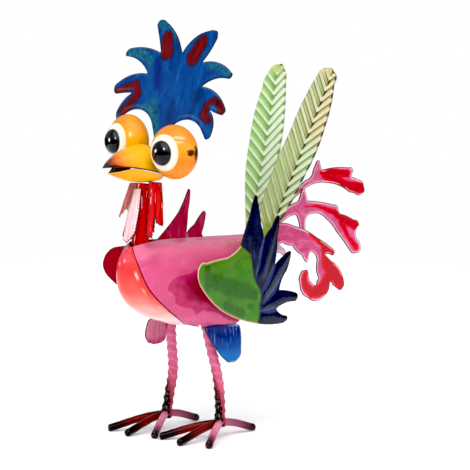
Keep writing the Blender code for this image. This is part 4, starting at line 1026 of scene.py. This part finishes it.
def feather_paint(side):
    near = side == "left"
    e = Enamel("plume_" + side + "_enamel")
    cloud = e.noise((0.12, 0.12, 0.1), 4, 0.6, 3)
    # Each chevron step is painted with light: the pale band over each ridge is a painted highlight and the
    # dark band just below the next ridge painted shade.
    step = e.math("FRACT", e.a)
    if near:
        wide = e.ramp(step, (0, "#F4EED2"), (0.2, "#ECE2BA"), (0.4, "#D4C88E"), (0.62, "#AE9F5A"),
                      (0.8, "#8A7C3C"), (0.91, "#544A22"), (0.97, "#F0E8C4"))
        thin = e.ramp(step, (0, "#ECECD0"), (0.28, "#CCD2A2"), (0.35, "#38361C"), (0.43, "#B2B87E"),
                      (0.7, "#94A264"), (0.77, "#38361C"), (0.84, "#A8B078"), (0.95, "#E4E4BC"))
        grass = e.ramp(step, (0, "#F2F8E2"), (0.24, "#E0EECA"), (0.45, "#A8CA84"), (0.8, "#7A9E52"),
                       (0.9, "#4E6C30"), (0.97, "#E4F0D0"))
        low = e.soft(e.add(e.v, e.times(cloud, 18)), 128, 96)
        wide = e.over(wide, grass, low)
        thin = e.over(thin, "#A4C47C", low, 0.4)
    else:
        wide = e.ramp(step, (0, "#F0F8E4"), (0.2, "#DEEECA"), (0.3, "#A2C87E"), (0.6, "#86B060"),
                      (0.9, "#709A4C"), (0.96, "#E0F0CE"))
        thin = e.ramp(step, (0, "#ECF6DE"), (0.32, "#E0F0D0"), (0.44, "#B0D094"), (0.75, "#86AC6C"),
                      (0.88, "#688E50"), (0.95, "#E2F2D2"))
    e.colour = e.over(thin, wide, e.soft(e.b, -0.5, 0.5))
    # Painted shade in the grooves.
    groove = e.times(e.soft(step, 0.22, 0.36), e.soft(step, 0.95, 0.88))
    e.lay("#7A7440" if near else "#5A8C38", groove, e.stripe(e.b, 0, 9, 1), 0.45)
    # Painted shade: dark dashes in the pinched spots along the midrib and the outer rim.
    gate = e.times(e.soft(step, 0.26, 0.34), e.soft(step, 0.88, 0.8))
    e.lay("#15140A", gate, e.stripe(e.b, 1.3, 1.6, 1.1), 1 if near else 0.15)
    e.lay(e.ramp(cloud, (0.3, "#7E9A3C"), (0.7, "#A4B45C")), e.soft(e.c, 24, 12))
    e.lay("#D6C98A" if near else "#B8C468", e.soft(e.add(e.v, e.times(cloud, 8)), 176, 187), 0.75)
    # Painted shade: dark dashes at the pinched ends of the chevrons on the outer rim of one half.
    dark_side = e.soft(e.b, *((-2, 2) if near else (2, -2)))
    e.lay("#1A1A0C", e.soft(e.rim, 2, 1.5), gate, dark_side)
    e.lay("#5A5A34" if near else "#A0C080", e.soft(e.rim, 0.9, 0.4), 0.6)
    return e.finish(0.34, (0.3, 0.3, 0.3), 0.2, 0.25, 0.05)


for side, sign in SIDES.items():
    cut = flat, _, edge = cut_out(FEATHERS[side], 1.15, longest=1)
    u, v = flat.T
    (u0, v0), (u1, v1) = MIDRIB[side]
    from_mid = u - (u0 + (u1 - u0) * (v - v0) / (v1 - v0))
    setback = 0 if sign > 0 else PLUME_SETBACK
    bend = FEATHER_FOLD * (np.sqrt(from_mid ** 2 + 1) - 1)
    slope = np.where(from_mid > 0, *CHEVRON_SLOPE[side])
    phase = (v - slope * np.abs(from_mid)) / CHEVRON_PITCH[side]
    step = phase % 1
    ridge = np.where(step < 0.14, step / 0.14, (1 - step) / 0.86) ** 1.1
    relief = (ridge - 0.45) * 1.9 * fade_in(edge, 1.4) * fade_in(v - 24, 12)
    relief *= np.clip(np.abs(from_mid) / 1.6, 0.15, 1)
    sheet("tail_plume_" + side, cut, np.column_stack([sign * u, setback - bend, v]), (0, -1, 0),
          feather_paint(side), "tail_feather_" + side, np.column_stack([phase, from_mid, v]),
          relief, turned(FEATHER_ROOT, ("X", -FEATHER_LEAN)))

# Tail curls.
CURL_PITCH, CURL_FAN, CURL_ROOT = SHEET + GAP, 0.02, 97
CURLS = {
    "tail_curl_upper": (-0.5, [
        (95.8, 175), (102.8, 178, -4), (167.8, 228, -3.5), (207.8, 234.8, -2.6),
        (247.8, 222.3, -0.8), (260.8, 218.8, 1.4), (268.3, 220.5, 3.4), (272.3, 227, 3),
        (262.8, 235, 0.8), (251.2, 238.6, -1), (254.2, 244.6, 2.2), (246.8, 249, 1.6), (201.8, 249, -1),
        (197.8, 258, 2), (191.8, 257, 0.6), (184.8, 244.5, -1), (174.8, 240, 4), (99.8, 185),
        (98.1, 183)]),
    "tail_curl_middle": (0.5, [
        (95.8, 175), (101.8, 177, -3), (135.8, 199.6, -1.4), (155.8, 205, -1.5), (161.8, 188),
        (170.3, 186), (170.8, 200, -1.5), (181.8, 204.4, -2.5), (203.8, 197.5, -1.2),
        (220.8, 182.6, -0.6), (243.8, 160.2, 1.6), (254.8, 157.6, 2), (261.4, 162, 1.8),
        (255.8, 172, -1), (252.8, 181, -1.2), (258.8, 186.5, 2.6), (249.8, 193.4, 1),
        (226.8, 201.4, -1), (223.8, 207.6, 1.6), (215.8, 211.8, 1), (173.8, 218.6),
        (169.8, 230, 1.8), (163.8, 229, -0.5), (158.8, 218.8, 1.2), (129.8, 209, 2), (98.1, 183)]),
    "tail_curl_lower": (1.5, [
        (95.8, 175), (101.8, 176, 1.5), (132.8, 178, 1.2), (147.8, 174, 1.6), (161.8, 163, 0.4),
        (165.8, 157.5, 0.6), (169.4, 154.4, 0.8), (172.4, 158, -0.4), (174.8, 165, -3.5),
        (185.3, 154, 2.2), (188.6, 136, 1.6), (185.3, 130.4, -1.2), (179.3, 132, -2.4),
        (172.4, 144.6, 1.4), (165.8, 147, 1.6), (159.8, 143.6, 2.2), (158.8, 134, 4),
        (171.8, 117.4, 4.4), (195.8, 116.4, 3.4), (205.8, 131, -1), (210.8, 127),
        (219.8, 121.6, 1.6), (226.8, 123, 1.6), (228.4, 130.6, 3.6), (208.8, 153),
        (198.8, 160.6, -1), (210.8, 158), (213.8, 161.6, 0.6), (209.8, 166.4, 0.6),
        (184.8, 180, 1.6), (150.8, 194, 1.4), (124.8, 199), (98.1, 183)]),
    "tail_curl_inner": (-1.5, [
        (97.3, 166), (104.8, 162, -1), (117.8, 157.5), (119.8, 153.5, 0.6), (122.8, 155),
        (127.8, 166.5, -1), (136.8, 166, -1.5), (142.8, 160, -1), (141.8, 151.6, 2), (146.6, 151.4, 1),
        (147.8, 162, 2), (139.8, 172, 2), (122.8, 177, 1), (97.3, 178)]),
}
# Red strokes brushed on each curl, as (back, height, half width).
CURL_RED = {
    "tail_curl_upper": [[(200, 246, 2), (215, 246, 3), (244, 243, 3)],
                        [(203, 243, 2), (225, 236, 4), (246, 229, 4.5), (270, 226, 5)]],
    "tail_curl_middle": [[(168, 213, -0.8), (190, 212, 0.2), (215, 204, 2), (232, 196, 4), (252, 187, 4.5)],
                         [(228, 193, 3), (240, 176, 1.5), (254, 163, 2.5)]],
    "tail_curl_lower": [[(170, 188, 0), (182, 181, 3), (196, 173, 5), (210, 162, 4)],
                        [(198, 168, 5), (200, 151, 6), (214, 138, 7), (224, 127, 6)],
                        [(206, 140, 6), (195, 124, 7), (177, 122, 4.5), (165, 133, 3.5), (167, 144, 2.5)]],
    "tail_curl_inner": [[(118, 168, 0.5), (119, 168, 0.5)]],
}


def curl_paint(name, tones, pale, red, edge="#2C0C1A"):
    e = Enamel(name)
    e.colour = e.ramp(e.noise((0.05, 0.12, 0.2), 5, 0.62, 3, 1.2), *zip((0.28, 0.5, 0.74), tones))
    e.lay(pale, e.soft(e.rim, 3.4, 1.6), 0.75)
    e.lay(red, e.ragged(e.add(e.a, 1.5), 0.9, (0.12, 0.16, 0.2), 3, 8), 0.95)
    e.lay("#9C0818", e.ragged(e.add(e.a, -0.8), 1.2, (0.12, 0.16, 0.2), 4, 18), 0.55)
    glint = e.soft(e.noise((0.03, 0.05, 0.1), 2, 0.5, 61), 0.5, 0.56)
    e.lay("#FAE4EA", e.stripe(e.rim, 1.7, 0.55, 0.15), glint, 0.65)
    return e.finish(0.22, (0.1, 0.25, 0.3), 0.25, 0.5, 0.06, edge, 0.9)


PINK = "#C4407A", "#D25A8A", "#E286AA"
MAGENTA = "#BC3468", "#CC4A7C", "#DE7CA2"
LILAC = "#D088A4", "#DEA4BA", "#E8BCCC"
CURL_PAINT = {
    "tail_curl_upper": curl_paint("curl_pink_enamel", PINK, "#F0A4BA", "#DC0418"),
    "tail_curl_middle": curl_paint("curl_rose_enamel", PINK, "#F0A8BC", "#DC0418"),
    "tail_curl_lower": curl_paint("curl_magenta_enamel", MAGENTA, "#EE9CB4", "#DC0410"),
    "tail_curl_inner": curl_paint("curl_lilac_enamel", LILAC, "#ECC8D4", "#D890AC", "#4A3440"),
}
for name, (lane, shape) in CURLS.items():
    cut = flat, _, _ = cut_out(shape, 1.4)
    u, v = flat.T
    base = np.column_stack([lane * (CURL_PITCH + CURL_FAN * (u - CURL_ROOT)), u, v])
    # The blades are uneven only where they are clear of each other.
    relief = wobble(flat, 0.09, lane) * 0.12 * fade_in(u - 120, 40)
    sheet(name + "_blade", cut, base, (1, 0, 0), CURL_PAINT[name], name,
          np.column_stack([to_strokes(flat, CURL_RED[name]), u, v]), relief)

# Stage and light.
scene = bpy.context.scene
FLOOR_REACH, LAMP_DISTANCE, CAMERA_DISTANCE, PICTURE = 1.25, 1.6, 2.1, 470
paper = bpy.data.materials.new("backdrop_paper")
Nodes(paper).fill(paper.node_tree.nodes["Principled BSDF"], {
    "Base Color": (0.93, 0.93, 0.94, 1), "Roughness": 0.9, "Specular IOR Level": 0.1,
    "Emission Color": (0.97, 0.94, 1, 1), "Emission Strength": 0.14})
mesh = bpy.data.meshes.new("backdrop")
mesh.from_pydata([(x * FLOOR_REACH, y * FLOOR_REACH, 0) for x, y in ((-1, -1), (1, -1), (1, 1), (-1, 1))], [],
                 [(0, 1, 2, 3)])
mesh.materials.append(paper)
backdrop = bpy.data.objects.new("backdrop", mesh)
scene.collection.objects.link(backdrop)

# A white surround to look at, and a dimmer one that lights the ornament. It is darker towards the floor,
# so that upright enamel keeps its depth.
world = bpy.data.worlds.new("studio")
room = Nodes(world)
up = room.split(room.put("TexCoord", {}, "Generated"))[2]
strength = room.put("MapRange", {"Value": up, "From Min": 0.02, "From Max": 0.22,
                                 "To Min": 0.06, "To Max": 0.52})
lit = room.put("Background", {"Color": (0.96, 0.97, 1, 1), "Strength": strength})
seen = room.put("Background", {"Color": (1, 1, 1, 1), "Strength": 1})
camera_ray = room.put("LightPath", {}, "Is Camera Ray")
room.fill(world.node_tree.nodes["World Output"],
          {"Surface": room.put("MixShader", {0: camera_ray, 1: lit, 2: seen})})
scene.world = world


def aim(name, data, target, azimuth, elevation, distance):
    """A lamp or camera set off from a target, round from the front to the left and up, and turned to it."""
    a, b = math.radians(azimuth), math.radians(elevation)
    heading = Vector((math.sin(a) * math.cos(b), -math.cos(a) * math.cos(b), math.sin(b)))
    made = bpy.data.objects.new(name, data)
    made.location = Vector(target) + heading * distance
    made.rotation_euler = (-heading).to_track_quat("-Z", "Y").to_euler()
    scene.collection.objects.link(made)
    return made


def lamp(name, kind, azimuth, elevation, energy, size):
    """A sun of an angle in degrees, or a disk of a width in metres that only gives gloss."""
    data = bpy.data.lights.new(name, kind)
    data.energy = energy
    if kind == "SUN":
        data.angle = math.radians(size)
    else:
        data.shape = "DISK"
        data.size = size
    made = aim(name, data, (0, 0, 0.2), azimuth, elevation, LAMP_DISTANCE)
    made.visible_diffuse = kind == "SUN"


lamp("key", "SUN", 20, 56, 2.3, 70)
lamp("fill", "SUN", 88, 38, 1, 80)
lamp("glint", "AREA", -50, 7, 8, 0.3)
lamp("window", "AREA", 8, 26, 12, 0.42)

scene.view_settings.view_transform = "Standard"
scene.view_settings.look = "None"
scene.view_settings.use_curve_mapping = True
scene.view_settings.curve_mapping.black_level = (0.015,) * 3
scene.view_settings.curve_mapping.update()
scene.render.resolution_x = scene.render.resolution_y = PICTURE
lens = bpy.data.cameras.new("camera")
lens.lens = 160.85
lens.sensor_width = 36
lens.clip_start = 0.05
scene.camera = aim("camera", lens, (-0.0057, -0.0162, 0.1910), 42, 5.8, CAMERA_DISTANCE)
